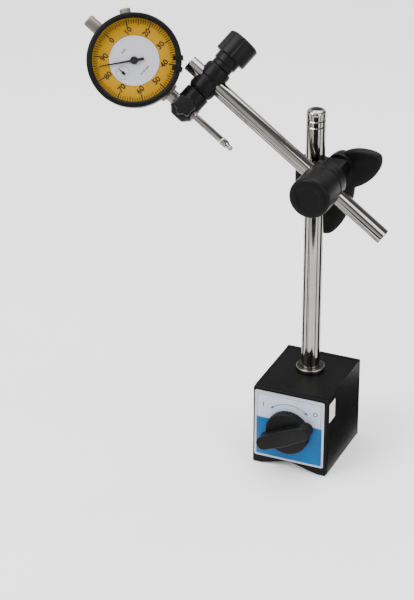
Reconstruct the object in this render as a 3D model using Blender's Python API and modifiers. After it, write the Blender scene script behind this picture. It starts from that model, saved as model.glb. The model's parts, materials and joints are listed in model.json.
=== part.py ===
"""Dial indicator on a switchable magnetic base, as separate solids.

Metres, +Z up. The origin is at the middle of the base's resting plane, on the floor.
The rotary knob faces -Y and the arm rises towards -X.
"""
import math

import bmesh
import bpy
from mathutils import Vector

# ---- driving dimensions -------------------------------------------------------
GAP = 0.0003                # between pieces that touch
RUNNING = 0.0003            # radial clearance of a shaft in its bore
REACH = 0.001               # how far a cutter runs past the face that it cuts
EDGE = 0.0005               # the small chamfer on a turned piece

BASE_WIDTH = 0.050
BASE_DEPTH = 0.060
BASE_HEIGHT = 0.055
PLATE_THICKNESS = 0.0027
BASE_BEVEL = 0.0008
SPACER_WIDTH = 0.0080
VEE_WIDTH = 0.038
VEE_HEIGHT = 0.005
ROTOR_RADIUS = 0.0140
SOCKET_FLOOR = 0.0032       # between the rotor's bore and the post's socket
ROTOR_SHAFT_RADIUS = 0.0040
LABEL_THICKNESS = 0.0006
LABEL_MARGIN = 0.0015
LABEL_BOTTOM = 0.0060
KNOB_RADIUS = 0.0145
KNOB_DISC = 0.0055
KNOB_BAR_HEIGHT = 0.0065
KNOB_BAR_LENGTH = 0.039
KNOB_BAR_WIDTH = 0.0095
KNOB_CHAMFER = 0.0010
KNOB_BAR_EDGE = 0.0018
KNOB_REST = math.radians(26)
PLATE_SCREW_RADIUS = 0.0030
PLATE_SCREW_HEAD = 0.0016
PLATE_SCREW_LENGTH = 0.0060
PLATE_SCREW_HOLE = 0.0080
PLATE_SCREW_INSET = 0.0065  # from the block's top, and from the vee groove
PLATE_SCREW_SIDE = 0.0050   # from the block's side

POST_RADIUS = 0.0060
POST_SOCKET = 0.0090        # depth of the post's socket in the base
POST_HEIGHT = 0.180         # above the base
POST_PLACE_Y = 0.005
POST_DOME = 0.0025
RING_GROOVE = 0.0007
RING_GROOVE_PLACES = (0.0060, 0.0100)   # below the post's top
COLLAR_RADIUS = 0.00925
COLLAR_HEIGHT = 0.0030

CLAMP_HEIGHT = 0.194        # height of the main clamp's axis
BUSH_WALL = 0.00125
BUSH_PROUD = 0.0008         # past each end of the lug
LUG_WALL = 0.0045
LUG_HEIGHT = 0.0150
LUG_FACE_WALL = 0.0010      # left in front of and behind the lug's bore
LUG_EDGE = 0.0024
BOLT_WALL = 0.00065         # between the lug's bore and the clamp bolt
BOLT_RADIUS = 0.0030
EYE_RADIUS = 0.0080
EYE_WALL = 0.0014           # past the rod's bore, along the bolt
CHEEK_RADIUS = 0.0125
CHEEK_FLOOR = 0.0012        # left under the cheek's groove
DRUM_RADIUS = 0.0130
DRUM_LENGTH = 0.0255
DRUM_CHAMFER = 0.0015
WASHER_THICKNESS = 0.0010
WASHER_RADIUS = 0.0070
WING_HUB_RADIUS = 0.0085
WING_HUB_LENGTH = 0.0110
WING_HUB_CHAMFER = 0.0010
WING_THICKNESS = 0.0060
WING_EDGE = 0.0010
WING_ROOT_SHARE = 0.55      # a leaf's half width at its root, as a share of that at its tip
WING_OVER_BOLT = 0.0020     # the hub's length past the bolt's end
WING_THREAD_FLOOR = 0.0015
BROAD_WING = 0.0125         # half width of the upper leaf
BROAD_WING_REACH = 0.031
BROAD_WING_ANGLE = math.radians(26)
NARROW_WING = 0.0062
NARROW_WING_REACH = 0.046
NARROW_WING_ANGLE = math.radians(-102)

ROD_RADIUS = 0.0050
ROD_UPPER = 0.1093          # from the clamp bolt to the rod's upper end
ROD_LOWER = 0.0487
ROD_CHAMFER = 0.0008
ARM_TILT = math.radians(36)

ROD_PAST_CLAMP = 0.0163     # from the end clamp to the rod's upper end
END_CLAMP_ROLL = math.radians(35)
BLOCK_RADIUS = 0.0085
BLOCK_WALL = 0.0045         # above and under the rod's bore
BLOCK_EDGE = 0.0010
END_NECK_RADIUS = 0.0077
END_NECK_LENGTH = 0.0080
END_KNOB_RADIUS = 0.0105
END_KNOB_LENGTH = 0.0150
END_KNOB_LOBES = 8
END_KNOB_FLUTE = 0.0009
END_KNOB_EDGE = 0.0014
END_SCREW_RADIUS = 0.0030
END_SCREW_COVER = 0.0040    # the knob's length past the screw's end
CARRIER_RADIUS = 0.0080
CARRIER_LENGTH = 0.0200
CARRIER_CONE = 0.0040
CARRIER_CHAMFER = 0.0008
STEM_BORE_PLACE = 0.0220    # from the rod's axis
PIVOT_RADIUS = 0.0030
PIVOT_TOP_WALL = 0.0013     # between the pivot and the rod's bore
PIVOT_END_WALL = 0.0006     # between the pivot and the stem's bore
THUMB_RADIUS = 0.0065
THUMB_LENGTH = 0.0060
THUMB_LOBES = 6
THUMB_FLUTE = 0.0014
THUMB_EDGE = 0.0006
THUMB_STUD = 0.0015

STEM_RADIUS = 0.0040
SPINDLE_CLEARANCE = 0.0005    # between the spindle and the stem's bore
STEM_LENGTH = 0.0220        # below the case
STEM_IN_CASE = 0.0008
SPINDLE_RADIUS = 0.0021
SPINDLE_OUT = 0.0210        # below the stem, down to the contact point
SPINDLE_TRAVEL = 0.010
CONTACT_RADIUS = 0.0024
CONTACT_LENGTH = 0.0060
BALL_RADIUS = 0.0016
CASE_ABOVE_BORE = 0.0135    # from the carrier's bore to the case's edge
CASE_RADIUS = 0.0275
CASE_WALL = 0.0019
CASE_DEPTH = 0.0144
CASE_FLANGE_WIDTH = 0.0055
CASE_FLANGE = 0.0022
CASE_CHAMFER = 0.0010
BEZEL_OVERHANG = 0.0012     # past the case's side
BEZEL_LIP = 0.0027
BEZEL_WALL = 0.0022
BEZEL_DEPTH = 0.0070
BEZEL_FRONT_LIP = 0.0010
BEZEL_CHAMFER = 0.0014
WINDOW_CHAMFER = 0.0003
CRYSTAL_THICKNESS = 0.0013
DIAL_THICKNESS = 0.0008
DIAL_SET_BACK = 0.0004      # of the dial's back from the bezel's back edge
DIAL_CLEARANCE = 0.0006     # round the dial, inside the bezel
CENTRE_DIAL_RADIUS = 0.01525
POINTER_THICKNESS = 0.0005
POINTER_LENGTH = 0.0215
POINTER_TAIL = 0.0060
POINTER_HALF_WIDTH = 0.0006
POINTER_HUB = 0.0024
POINTER_REST = math.radians(52)     # anticlockwise from 12 o'clock
POINTER_LIFT = 0.0015               # above the dial
SMALL_POINTER_LIFT = 0.0006
SMALL_POINTER_LENGTH = 0.0040
SMALL_POINTER_TAIL = 0.0015
SMALL_POINTER_HALF_WIDTH = 0.0004
SMALL_POINTER_HUB = 0.0010
ARBOR_RADIUS = 0.0006
MOVEMENT_SET_BACK = 0.0002  # behind the case's front edge
MOVEMENT_THICKNESS = 0.0008
FIRST_GEAR_SPACE = 0.0004   # behind the movement plate
SECOND_GEAR_SPACE = 0.0005  # behind the first gear
PINION_PROUD = 0.0002
GEAR_THICKNESS = 0.0007
GEAR_TEETH = 100
PINION_TEETH = 10
GEAR_DISTANCE = 0.0100
TOOTH_CLEARANCE = 0.00015
RACK_PINION_TEETH = 16
RACK_LENGTH = 0.026
RACK_TOOTH = 0.0004
GUIDE_PIN_PLACE = -0.0160   # from the dial's centre, along the spindle
GUIDE_PIN_LENGTH = 0.0027
GUIDE_PIN_RADIUS = 0.0007
BACK_THICKNESS = 0.0012
BACK_LUG = (0.0080, 0.0078, 0.0160)
BACK_CHAMFER = 0.0010
BACK_SET_IN = 0.0002        # of the cover's edge from the case's side
BACK_LUG_EDGE = 0.0008
BACK_LUG_BORE = 0.00325
BACK_LUG_BORE_SHARE = 0.55  # the bore's place along the lug
BACK_SCREW_RADIUS = 0.0016
BACK_SCREW_HEAD = 0.0008
CAP_RADIUS = 0.0038
CAP_WALL = 0.0011
CAP_CHAMFER = 0.0006
CAP_ROOM = 0.0005           # over the spindle at the top of its travel
BEZEL_SCREW_RADIUS = 0.0034
BEZEL_SCREW_LENGTH = 0.0045
BEZEL_SCREW_BACK = 0.0004   # of its head from the bezel
BEZEL_SCREW_ANGLE = math.radians(37)
MARKER_WIDTH = 0.0030
MARKER_THICKNESS = 0.0007
MARKER_OVER_WINDOW = 0.0015
MARKER_SKIRT_GAP = 0.0015   # from the skirt's end to the bezel's back
MARKER_ANGLES = (math.radians(136), math.radians(150))
SPRING_RADIUS = 0.0016
SPRING_WIRE = 0.00025
SPRING_TURNS = 9
SPRING_LENGTH = 0.0160
SPRING_PLACE_X = 0.0150
SPRING_TOP = -0.0020        # from the dial's centre

WORLD_X = Vector((1, 0, 0))
WORLD_Y = Vector((0, 1, 0))
WORLD_Z = Vector((0, 0, 1))
FACING_FRONT = (math.pi / 2, 0, 0)  # an outline's +Y becomes +Z, and it is extruded along Y

for old in list(bpy.data.objects):
    bpy.data.objects.remove(old, do_unlink=True)
parts = bpy.data.collections.new("dial_indicator_on_magnetic_base")
cutters = bpy.data.collections.new("cutters")
bpy.context.scene.collection.children.link(parts)
bpy.context.scene.collection.children.link(cutters)


# ---- materials ------------------------------------------------------------------
def make_material(name, colour, roughness, metallic):
    material = bpy.data.materials.new(name)
    material.use_nodes = True
    shader = material.node_tree.nodes["Principled BSDF"]
    shader.inputs["Base Color"].default_value = (*colour, 1)
    shader.inputs["Roughness"].default_value = roughness
    shader.inputs["Metallic"].default_value = metallic
    return material


FINISHES = {
    "black": ((0.020, 0.020, 0.022), 0.35, 0.0),
    "chrome": ((0.80, 0.80, 0.81), 0.10, 1.0),
    "nickel": ((0.66, 0.65, 0.62), 0.25, 1.0),
    "steel": ((0.42, 0.42, 0.43), 0.35, 1.0),
    "aluminium": ((0.70, 0.70, 0.71), 0.40, 1.0),
    "blue": ((0.0, 0.12, 0.36), 0.40, 0.0),
    "satin_grey": ((0.62, 0.61, 0.57), 0.40, 0.6),
    "white": ((0.85, 0.85, 0.82), 0.50, 0.0),
    "yellow": ((0.67, 0.40, 0.01), 0.50, 0.0),
    "glass": ((0.90, 0.92, 0.93), 0.05, 0.0),
    "brass": ((0.72, 0.52, 0.22), 0.30, 1.0),
}


# ---- making and placing -----------------------------------------------------------
def make_frame(name, parent, location, turn=(0, 0, 0)):
    """An empty: the joint axis or datum that pieces are placed from."""
    frame = bpy.data.objects.new(name, None)
    frame.parent = parent
    frame.location = location
    frame.rotation_euler = turn
    frame.empty_display_size = 0.01
    cutters.objects.link(frame)
    return frame


def add_object(name, data, parent, finish):
    """A part when it has a finish, and otherwise a cutter."""
    piece = bpy.data.objects.new(name, data)
    piece.parent = parent
    if finish is None:
        cutters.objects.link(piece)
        piece.hide_render = True
        piece.display_type = "WIRE"
        return piece
    parts.objects.link(piece)
    data.materials.append(make_material(name + "_finish", *FINISHES[finish]))
    return piece


def shade(piece):
    piece.data.shade_smooth()
    piece.data.set_sharp_from_angle(angle=math.radians(32))


def box(name, low, high, parent=None, finish=None, bevel=0.0):
    """A box between two corners."""
    low = Vector(low)
    high = Vector(high)
    mesh = bpy.data.meshes.new(name)
    shape = bmesh.new()
    bmesh.ops.create_cube(shape, size=1.0)
    bmesh.ops.scale(shape, vec=high - low, verts=shape.verts)
    bmesh.ops.translate(shape, vec=(low + high) / 2, verts=shape.verts)
    shape.to_mesh(mesh)
    shape.free()
    piece = add_object(name, mesh, parent, finish)
    if bevel > 0:
        soften(piece, bevel, 2)
    return piece


def soften(piece, width, segments=2):
    bevel = piece.modifiers.new("bevel", "BEVEL")
    bevel.width = width
    bevel.segments = segments
    bevel.limit_method = "ANGLE"
    bevel.angle_limit = math.radians(40)


def bar(name, start, end, radius, parent=None, finish=None, segments=32):
    """A cylinder between two points."""
    start = Vector(start)
    end = Vector(end)
    mesh = bpy.data.meshes.new(name)
    shape = bmesh.new()
    bmesh.ops.create_cone(shape, cap_ends=True, segments=segments, radius1=radius,
                          radius2=radius, depth=(end - start).length)
    shape.to_mesh(mesh)
    shape.free()
    piece = add_object(name, mesh, parent, finish)
    piece.location = (start + end) / 2
    piece.rotation_mode = "QUATERNION"
    piece.rotation_quaternion = (end - start).to_track_quat("Z", "Y")
    shade(piece)
    return piece


def turned(name, profile, start, axis, parent=None, finish=None, steps=40, closed=False):
    """A turned piece. The profile is (radius, height) pairs down its outer side."""
    mesh = bpy.data.meshes.new(name)
    shape = bmesh.new()
    points = [shape.verts.new((radius, 0, height)) for radius, height in profile]
    for first, second in zip(points, points[1:]):
        shape.edges.new((first, second))
    if closed:
        shape.edges.new((points[-1], points[0]))
    shape.to_mesh(mesh)
    shape.free()
    piece = add_object(name, mesh, parent, finish)
    piece.location = start
    piece.rotation_mode = "QUATERNION"
    piece.rotation_quaternion = Vector(axis).to_track_quat("Z", "Y")
    screw = piece.modifiers.new("turn", "SCREW")
    screw.steps = steps
    screw.render_steps = steps
    screw.use_merge_vertices = True
    screw.merge_threshold = 0.00001
    screw.use_smooth_shade = True
    return piece


def outline(name, points, location, thickness, parent=None, finish=None, turn=(0, 0, 0)):
    """A flat outline with a thickness, centred on its location."""
    curve = bpy.data.curves.new(name, "CURVE")
    curve.dimensions = "2D"
    curve.fill_mode = "BOTH"
    curve.extrude = thickness / 2
    spline = curve.splines.new("POLY")
    spline.points.add(len(points) - 1)
    for point, place in zip(spline.points, points):
        point.co = (place[0], place[1], 0, 1)
    spline.use_cyclic_u = True
    draft = bpy.data.objects.new(name + "_draft", curve)
    bpy.context.scene.collection.objects.link(draft)
    bpy.context.view_layer.update()
    evaluated = draft.evaluated_get(bpy.context.evaluated_depsgraph_get())
    mesh = bpy.data.meshes.new_from_object(evaluated)
    shape = bmesh.new()
    shape.from_mesh(mesh)
    bmesh.ops.remove_doubles(shape, verts=shape.verts, dist=0.000001)
    bmesh.ops.recalc_face_normals(shape, faces=shape.faces)
    shape.to_mesh(mesh)
    shape.free()
    mesh.materials.clear()
    bpy.data.objects.remove(draft, do_unlink=True)
    piece = add_object(name, mesh, parent, finish)
    piece.location = location
    piece.rotation_euler = turn
    shade(piece)
    return piece


def combine(piece, other, operation):
    boolean = piece.modifiers.new(operation.lower(), "BOOLEAN")
    boolean.operation = operation
    boolean.solver = "EXACT"
    boolean.object = other


def cut(piece, other):
    combine(piece, other, "DIFFERENCE")


def join(piece, other):
    combine(piece, other, "UNION")


def circle_points(radius, count, start=0.0, sweep=math.tau):
    steps = count if abs(sweep - math.tau) < 1e-6 else count - 1
    angles = [start + sweep * step / steps for step in range(count)]
    return [(radius * math.cos(angle), radius * math.sin(angle)) for angle in angles]


def lobed_points(radius, depth, lobes, count):
    """A knob's outline, with its grip flutes."""
    points = []
    for step in range(count):
        angle = math.tau * step / count
        reach = radius - depth * (1 - math.cos(lobes * angle)) / 2
        points.append((reach * math.cos(angle), reach * math.sin(angle)))
    return points


def toothed_points(teeth, tip, root):
    """A gear's outline, with a plain pointed tooth."""
    points = []
    for step in range(2 * teeth):
        reach = tip if step % 2 == 0 else root
        angle = math.pi * step / teeth
        points.append((reach * math.cos(angle), reach * math.sin(angle)))
    return points


def leaf_points(root, tip_radius, reach, angle, count=10):
    """A leaf from a hub: narrow at its root, with a round tip."""
    across = Vector((-math.sin(angle), math.cos(angle)))
    along = Vector((math.cos(angle), math.sin(angle)))
    tip = circle_points(tip_radius, count, angle - math.pi / 2, math.pi)
    centre = along * (reach - tip_radius)
    points = [across * -root]
    points += [centre + Vector(point) for point in tip]
    points.append(across * root)
    return points


# ---- the magnetic base ---------------------------------------------------------------
POLE_FRONT = -BASE_DEPTH / 2 + PLATE_THICKNESS + GAP
POLE_BACK = -POLE_FRONT
BORE_RADIUS = ROTOR_RADIUS + RUNNING
ROTOR_HEIGHT = BASE_HEIGHT - POST_SOCKET - SOCKET_FLOOR - BORE_RADIUS


def make_base():
    half = BASE_WIDTH / 2
    vee = outline("vee_cutter",
                  [(-VEE_WIDTH * 0.6, -VEE_HEIGHT * 0.2), (VEE_WIDTH * 0.6, -VEE_HEIGHT * 0.2),
                   (0, VEE_HEIGHT)], (0, 0, 0), BASE_DEPTH * 2, turn=FACING_FRONT)
    bore = bar("rotor_bore_cutter", (0, POLE_FRONT - REACH, ROTOR_HEIGHT),
               (0, POLE_BACK + REACH, ROTOR_HEIGHT), BORE_RADIUS, segments=48)
    socket = bar("post_socket_cutter", (0, POST_PLACE_Y, BASE_HEIGHT - POST_SOCKET),
                 (0, POST_PLACE_Y, BASE_HEIGHT + REACH), POST_RADIUS + GAP)
    edge = SPACER_WIDTH / 2
    left = box("left_pole", (-half, POLE_FRONT, 0), (-edge, POLE_BACK, BASE_HEIGHT), None, "black")
    right = box("right_pole", (edge, POLE_FRONT, 0), (half, POLE_BACK, BASE_HEIGHT), None, "black")
    for pole in (left, right):
        cut(pole, vee)
        cut(pole, bore)
        cut(pole, socket)
        soften(pole, BASE_BEVEL / 2, 1)
    inner = edge - GAP
    upper = box("upper_spacer", (-inner, POLE_FRONT, ROTOR_HEIGHT), (inner, POLE_BACK, BASE_HEIGHT),
                None, "aluminium")
    lower = box("lower_spacer", (-inner, POLE_FRONT, VEE_HEIGHT + GAP), (inner, POLE_BACK, ROTOR_HEIGHT),
                None, "aluminium")
    cut(upper, bore)
    cut(upper, socket)
    cut(lower, bore)
    make_plates(vee)


def make_plates(vee):
    half = BASE_WIDTH / 2
    front = -BASE_DEPTH / 2
    plate = box("front_plate", (-half, front, 0), (half, front + PLATE_THICKNESS, BASE_HEIGHT),
                None, "black")
    shaft_hole = bar("front_shaft_cutter", (0, front - 10 * REACH, ROTOR_HEIGHT),
                     (0, POLE_FRONT + REACH, ROTOR_HEIGHT), ROTOR_SHAFT_RADIUS + RUNNING)
    cut(plate, vee)
    cut(plate, shaft_hole)
    soften(plate, BASE_BEVEL, 2)
    label_front = front - GAP - LABEL_THICKNESS
    label = box("label_plate", (-half + LABEL_MARGIN, label_front, LABEL_BOTTOM),
                (half - LABEL_MARGIN, front - GAP, BASE_HEIGHT - LABEL_MARGIN), None, "blue")
    cut(label, shaft_hole)
    back = box("rear_plate", (-half, -front - PLATE_THICKNESS, 0), (half, -front, BASE_HEIGHT),
               None, "black")
    cut(back, vee)
    make_plate_screws(back)


def make_plate_screws(plate):
    """Four screws hold the rear plate: two in each pole piece."""
    number = 0
    back = BASE_DEPTH / 2
    for side in (-1, 1):
        for height in (PLATE_SCREW_INSET + VEE_HEIGHT, BASE_HEIGHT - PLATE_SCREW_INSET):
            number += 1
            place = Vector((side * (BASE_WIDTH / 2 - PLATE_SCREW_SIDE), back, height))
            shank = PLATE_SCREW_RADIUS / 2
            hole = bar("plate_screw_cutter_%d" % number, place - WORLD_Y * PLATE_SCREW_HOLE,
                       place + WORLD_Y * REACH, shank + GAP, segments=16)
            cut(plate, hole)
            pole = bpy.data.objects["left_pole" if side < 0 else "right_pole"]
            cut(pole, hole)
            profile = [(0, PLATE_SCREW_HEAD), (PLATE_SCREW_RADIUS * 0.8, PLATE_SCREW_HEAD),
                       (PLATE_SCREW_RADIUS, PLATE_SCREW_HEAD * 0.5), (PLATE_SCREW_RADIUS, 0),
                       (shank, 0), (shank, -PLATE_SCREW_LENGTH), (0, -PLATE_SCREW_LENGTH)]
            turned("plate_screw_%d" % number, profile, place + WORLD_Y * GAP, WORLD_Y, None,
                   "steel", steps=16)


def make_magnet_switch():
    """The turning magnet, its shaft and the rotary knob, all on one axis."""
    axis = make_frame("magnet_axis", None, (0, 0, ROTOR_HEIGHT), (0, -KNOB_REST, 0))
    bar("magnet_rotor", (0, POLE_FRONT + GAP, 0), (0, POLE_BACK - GAP, 0), ROTOR_RADIUS, axis,
        "steel", segments=48)
    knob_back = -BASE_DEPTH / 2 - LABEL_THICKNESS - 2 * GAP
    disc_front = knob_back - KNOB_DISC
    bar_front = disc_front - KNOB_BAR_HEIGHT
    shaft_end = disc_front + GAP
    bar("rotor_shaft", (0, POLE_FRONT, 0), (0, shaft_end, 0), ROTOR_SHAFT_RADIUS, axis, "steel")
    knob = turned("rotary_knob",
                  [(0, KNOB_DISC), (KNOB_RADIUS - KNOB_CHAMFER, KNOB_DISC),
                   (KNOB_RADIUS, KNOB_DISC - KNOB_CHAMFER), (KNOB_RADIUS, 0), (0, 0)],
                  (0, knob_back, 0), -WORLD_Y, axis, "black", steps=48)
    handle = box("knob_bar_cutter", (-KNOB_BAR_LENGTH / 2, bar_front, -KNOB_BAR_WIDTH / 2),
                 (KNOB_BAR_LENGTH / 2, disc_front + KNOB_DISC / 2, KNOB_BAR_WIDTH / 2), axis)
    soften(handle, KNOB_BAR_EDGE, 2)
    join(knob, handle)
    cut(knob, bar("knob_socket_cutter", (0, knob_back + REACH, 0), (0, disc_front, 0),
                  ROTOR_SHAFT_RADIUS + GAP, axis))
    screw_place = knob_back - KNOB_DISC / 2
    screw_radius = KNOB_DISC / 4
    cut(knob, bar("knob_screw_cutter", (0, screw_place, ROTOR_SHAFT_RADIUS),
                  (0, screw_place, KNOB_RADIUS + REACH), screw_radius + GAP, axis, segments=16))
    bar("knob_screw", (0, screw_place, ROTOR_SHAFT_RADIUS + GAP), (0, screw_place, KNOB_RADIUS - REACH),
        screw_radius, axis, "steel", segments=16)


def make_post():
    foot = BASE_HEIGHT - POST_SOCKET + GAP
    top = BASE_HEIGHT + POST_HEIGHT
    profile = [(0, top), (POST_RADIUS * 0.55, top - POST_DOME * 0.2),
               (POST_RADIUS * 0.88, top - POST_DOME * 0.6), (POST_RADIUS, top - POST_DOME)]
    for below in RING_GROOVE_PLACES:
        profile += [(POST_RADIUS, top - below), (POST_RADIUS - RING_GROOVE, top - below - RING_GROOVE),
                    (POST_RADIUS, top - below - 2 * RING_GROOVE)]
    profile += [(POST_RADIUS, foot), (0, foot)]
    turned("post", profile, (0, POST_PLACE_Y, 0), WORLD_Z, None, "chrome", steps=32)
    low = BASE_HEIGHT + GAP
    high = low + COLLAR_HEIGHT
    inner = POST_RADIUS + GAP
    turned("post_collar",
           [(inner, high), (COLLAR_RADIUS - EDGE, high), (COLLAR_RADIUS, high - EDGE),
            (COLLAR_RADIUS, low), (inner, low)], (0, POST_PLACE_Y, 0), WORLD_Z, None, "nickel",
           steps=32, closed=True)


# ---- the main clamp --------------------------------------------------------------------
BUSH_RADIUS = POST_RADIUS + RUNNING + BUSH_WALL
LUG_BORE = BUSH_RADIUS + RUNNING
LUG_BACK = LUG_BORE + LUG_FACE_WALL
LUG_FRONT = -LUG_BACK
CLAMP_OFFSET = LUG_BORE + BOLT_WALL + BOLT_RADIUS    # from the post's axis to the clamp bolt
CHEEK_BACK = LUG_FRONT - GAP
ROD_BORE = ROD_RADIUS + RUNNING
ROD_PLACE_Y = CHEEK_BACK - CHEEK_FLOOR - ROD_BORE    # from the post's axis
DRUM_BACK = ROD_PLACE_Y - GAP / 2
CHEEK_FRONT = ROD_PLACE_Y + GAP / 2


def make_post_bush(slide):
    high = LUG_HEIGHT / 2 + BUSH_PROUD
    turned("post_bush", [(POST_RADIUS + RUNNING, high), (BUSH_RADIUS, high), (BUSH_RADIUS, -high),
                         (POST_RADIUS + RUNNING, -high)], (0, 0, 0), WORLD_Z, slide, "nickel",
           steps=32, closed=True)


def make_post_lug(swivel):
    """The lug: a round sleeve on the bush, widened to carry the clamp bolt."""
    half = LUG_HEIGHT / 2
    side = LUG_BORE + LUG_WALL
    reach = CLAMP_OFFSET + BOLT_RADIUS + LUG_WALL
    lug = box("post_lug", (-side * 0.85, LUG_FRONT, -half), (reach, LUG_BACK, half), swivel, "black")
    soften(lug, LUG_EDGE, 2)
    cut(lug, bar("lug_bore_cutter", (0, 0, -half - REACH), (0, 0, half + REACH), LUG_BORE, swivel))
    cut(lug, bar("lug_bolt_cutter", (CLAMP_OFFSET, LUG_FRONT - REACH, 0),
                 (CLAMP_OFFSET, LUG_BACK + REACH, 0), BOLT_RADIUS + GAP, swivel, segments=24))


def make_tilting_clamp(tilt):
    """The drum, cheek and eye bolt. The frame's +Z runs along the rod."""
    past = 2 * DRUM_RADIUS
    rod_hole = bar("rod_path_cutter", (0, ROD_PLACE_Y, -past), (0, ROD_PLACE_Y, past), ROD_BORE, tilt)
    drum = turned("rod_drum",
                  [(0, DRUM_LENGTH), (DRUM_RADIUS - DRUM_CHAMFER, DRUM_LENGTH),
                   (DRUM_RADIUS, DRUM_LENGTH - DRUM_CHAMFER), (DRUM_RADIUS, 0), (0, 0)],
                  (0, DRUM_BACK, 0), -WORLD_Y, tilt, "black", steps=48)
    eye_front = ROD_PLACE_Y - ROD_BORE - EYE_WALL
    eye_back = LUG_FRONT - GAP
    eye_room = EYE_RADIUS + GAP
    eye_path = bar("eye_path_cutter", (0, eye_front - GAP, 0), (0, 0, 0), eye_room, tilt)
    cut(drum, eye_path)
    cut(drum, rod_hole)
    cheek = bar("clamp_cheek", (0, CHEEK_FRONT, 0), (0, CHEEK_BACK, 0), CHEEK_RADIUS, tilt, "black",
                segments=48)
    cut(cheek, eye_path)
    cut(cheek, rod_hole)
    bolt_end = LUG_BACK + WASHER_THICKNESS + WING_HUB_LENGTH - WING_OVER_BOLT
    eye_length = eye_back - eye_front
    bolt = turned("eye_bolt",
                  [(0, bolt_end - eye_front), (BOLT_RADIUS, bolt_end - eye_front),
                   (BOLT_RADIUS, eye_length), (EYE_RADIUS, eye_length), (EYE_RADIUS, 0), (0, 0)],
                  (0, eye_front, 0), WORLD_Y, tilt, "nickel", steps=32)
    cut(bolt, rod_hole)


def make_wing_knob(wing):
    """The wing knob and its washer, behind the lug. The frame is on the clamp bolt."""
    washer_front = LUG_BACK + GAP
    washer_back = washer_front + WASHER_THICKNESS
    inner = BOLT_RADIUS + GAP
    turned("wing_washer", [(inner, WASHER_THICKNESS), (WASHER_RADIUS, WASHER_THICKNESS),
                           (WASHER_RADIUS, 0), (inner, 0)], (0, washer_front, 0), WORLD_Y, wing,
           "nickel", steps=32, closed=True)
    hub_front = washer_back + GAP
    hub_back = hub_front + WING_HUB_LENGTH
    hub = turned("wing_knob",
                 [(0, WING_HUB_LENGTH), (WING_HUB_RADIUS - WING_HUB_CHAMFER, WING_HUB_LENGTH),
                  (WING_HUB_RADIUS, WING_HUB_LENGTH - WING_HUB_CHAMFER), (WING_HUB_RADIUS, 0), (0, 0)],
                 (0, hub_front, 0), WORLD_Y, wing, "black", steps=32)
    leaves = ((BROAD_WING, BROAD_WING_REACH, BROAD_WING_ANGLE),
              (NARROW_WING, NARROW_WING_REACH, NARROW_WING_ANGLE))
    middle = (hub_front + hub_back) / 2
    for number, (half_width, reach, angle) in enumerate(leaves):
        leaf = outline("wing_leaf_cutter_%d" % number,
                       leaf_points(half_width * WING_ROOT_SHARE, half_width, reach, angle),
                       (0, middle, 0), WING_THICKNESS, wing, None, FACING_FRONT)
        soften(leaf, WING_EDGE, 1)
        join(hub, leaf)
    cut(hub, bar("wing_thread_cutter", (0, hub_front - REACH, 0), (0, hub_back - WING_THREAD_FLOOR, 0),
                 BOLT_RADIUS + GAP, wing, segments=24))


# ---- the arm and its end clamp -------------------------------------------------------------
def make_arm_rod(arm):
    chamfered = ROD_RADIUS - ROD_CHAMFER
    turned("arm_rod", [(0, ROD_UPPER), (chamfered, ROD_UPPER), (ROD_RADIUS, ROD_UPPER - ROD_CHAMFER),
                       (ROD_RADIUS, -ROD_LOWER + ROD_CHAMFER), (chamfered, -ROD_LOWER),
                       (0, -ROD_LOWER)], (0, 0, 0), WORLD_Z, arm, "chrome", steps=32)


END_CLAMP_PLACE = ROD_UPPER - ROD_PAST_CLAMP    # from the clamp bolt, along the rod
BLOCK_TOP = ROD_BORE + BLOCK_WALL
BLOCK_BOTTOM = -BLOCK_TOP


def make_end_clamp(end):
    """The block on the rod. The frame's +Z is the rod, and its +X the clamp's own axis."""
    block = bar("end_clamp_block", (BLOCK_BOTTOM, 0, 0), (BLOCK_TOP, 0, 0), BLOCK_RADIUS, end, "black",
                segments=40)
    soften(block, BLOCK_EDGE, 1)
    cut(block, bar("end_rod_cutter", (0, 0, -2 * BLOCK_RADIUS), (0, 0, 2 * BLOCK_RADIUS), ROD_BORE, end))
    cut(block, bar("end_screw_cutter", (0, 0, 0), (BLOCK_TOP + REACH, 0, 0), END_SCREW_RADIUS + GAP,
                   end, segments=24))
    pivot_top = -ROD_BORE - PIVOT_TOP_WALL
    cut(block, bar("pivot_top_cutter", (pivot_top, 0, 0), (BLOCK_BOTTOM - REACH, 0, 0),
                   PIVOT_RADIUS + GAP, end, segments=24))


def make_end_knob(end):
    neck_start = BLOCK_TOP + GAP
    knob_start = neck_start + END_NECK_LENGTH
    knob_end = knob_start + END_KNOB_LENGTH
    knob = turned("end_knob", [(0, END_NECK_LENGTH + REACH), (END_NECK_RADIUS, END_NECK_LENGTH + REACH),
                               (END_NECK_RADIUS, 0), (0, 0)], (neck_start, 0, 0), WORLD_X, end,
                  "black", steps=32)
    grip = outline("end_grip_cutter", lobed_points(END_KNOB_RADIUS, END_KNOB_FLUTE, END_KNOB_LOBES, 48),
                   ((knob_start + knob_end) / 2, 0, 0), END_KNOB_LENGTH, end, None,
                   (0, math.pi / 2, 0))
    soften(grip, END_KNOB_EDGE, 1)
    join(knob, grip)
    screw_end = knob_end - END_SCREW_COVER
    cut(knob, bar("end_knob_cutter", (neck_start - REACH, 0, 0), (screw_end + GAP, 0, 0),
                  END_SCREW_RADIUS + GAP, end, segments=24))
    bar("end_clamp_screw", (ROD_RADIUS + 2 * GAP, 0, 0), (screw_end, 0, 0), END_SCREW_RADIUS, end,
        "nickel", segments=24)


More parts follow.
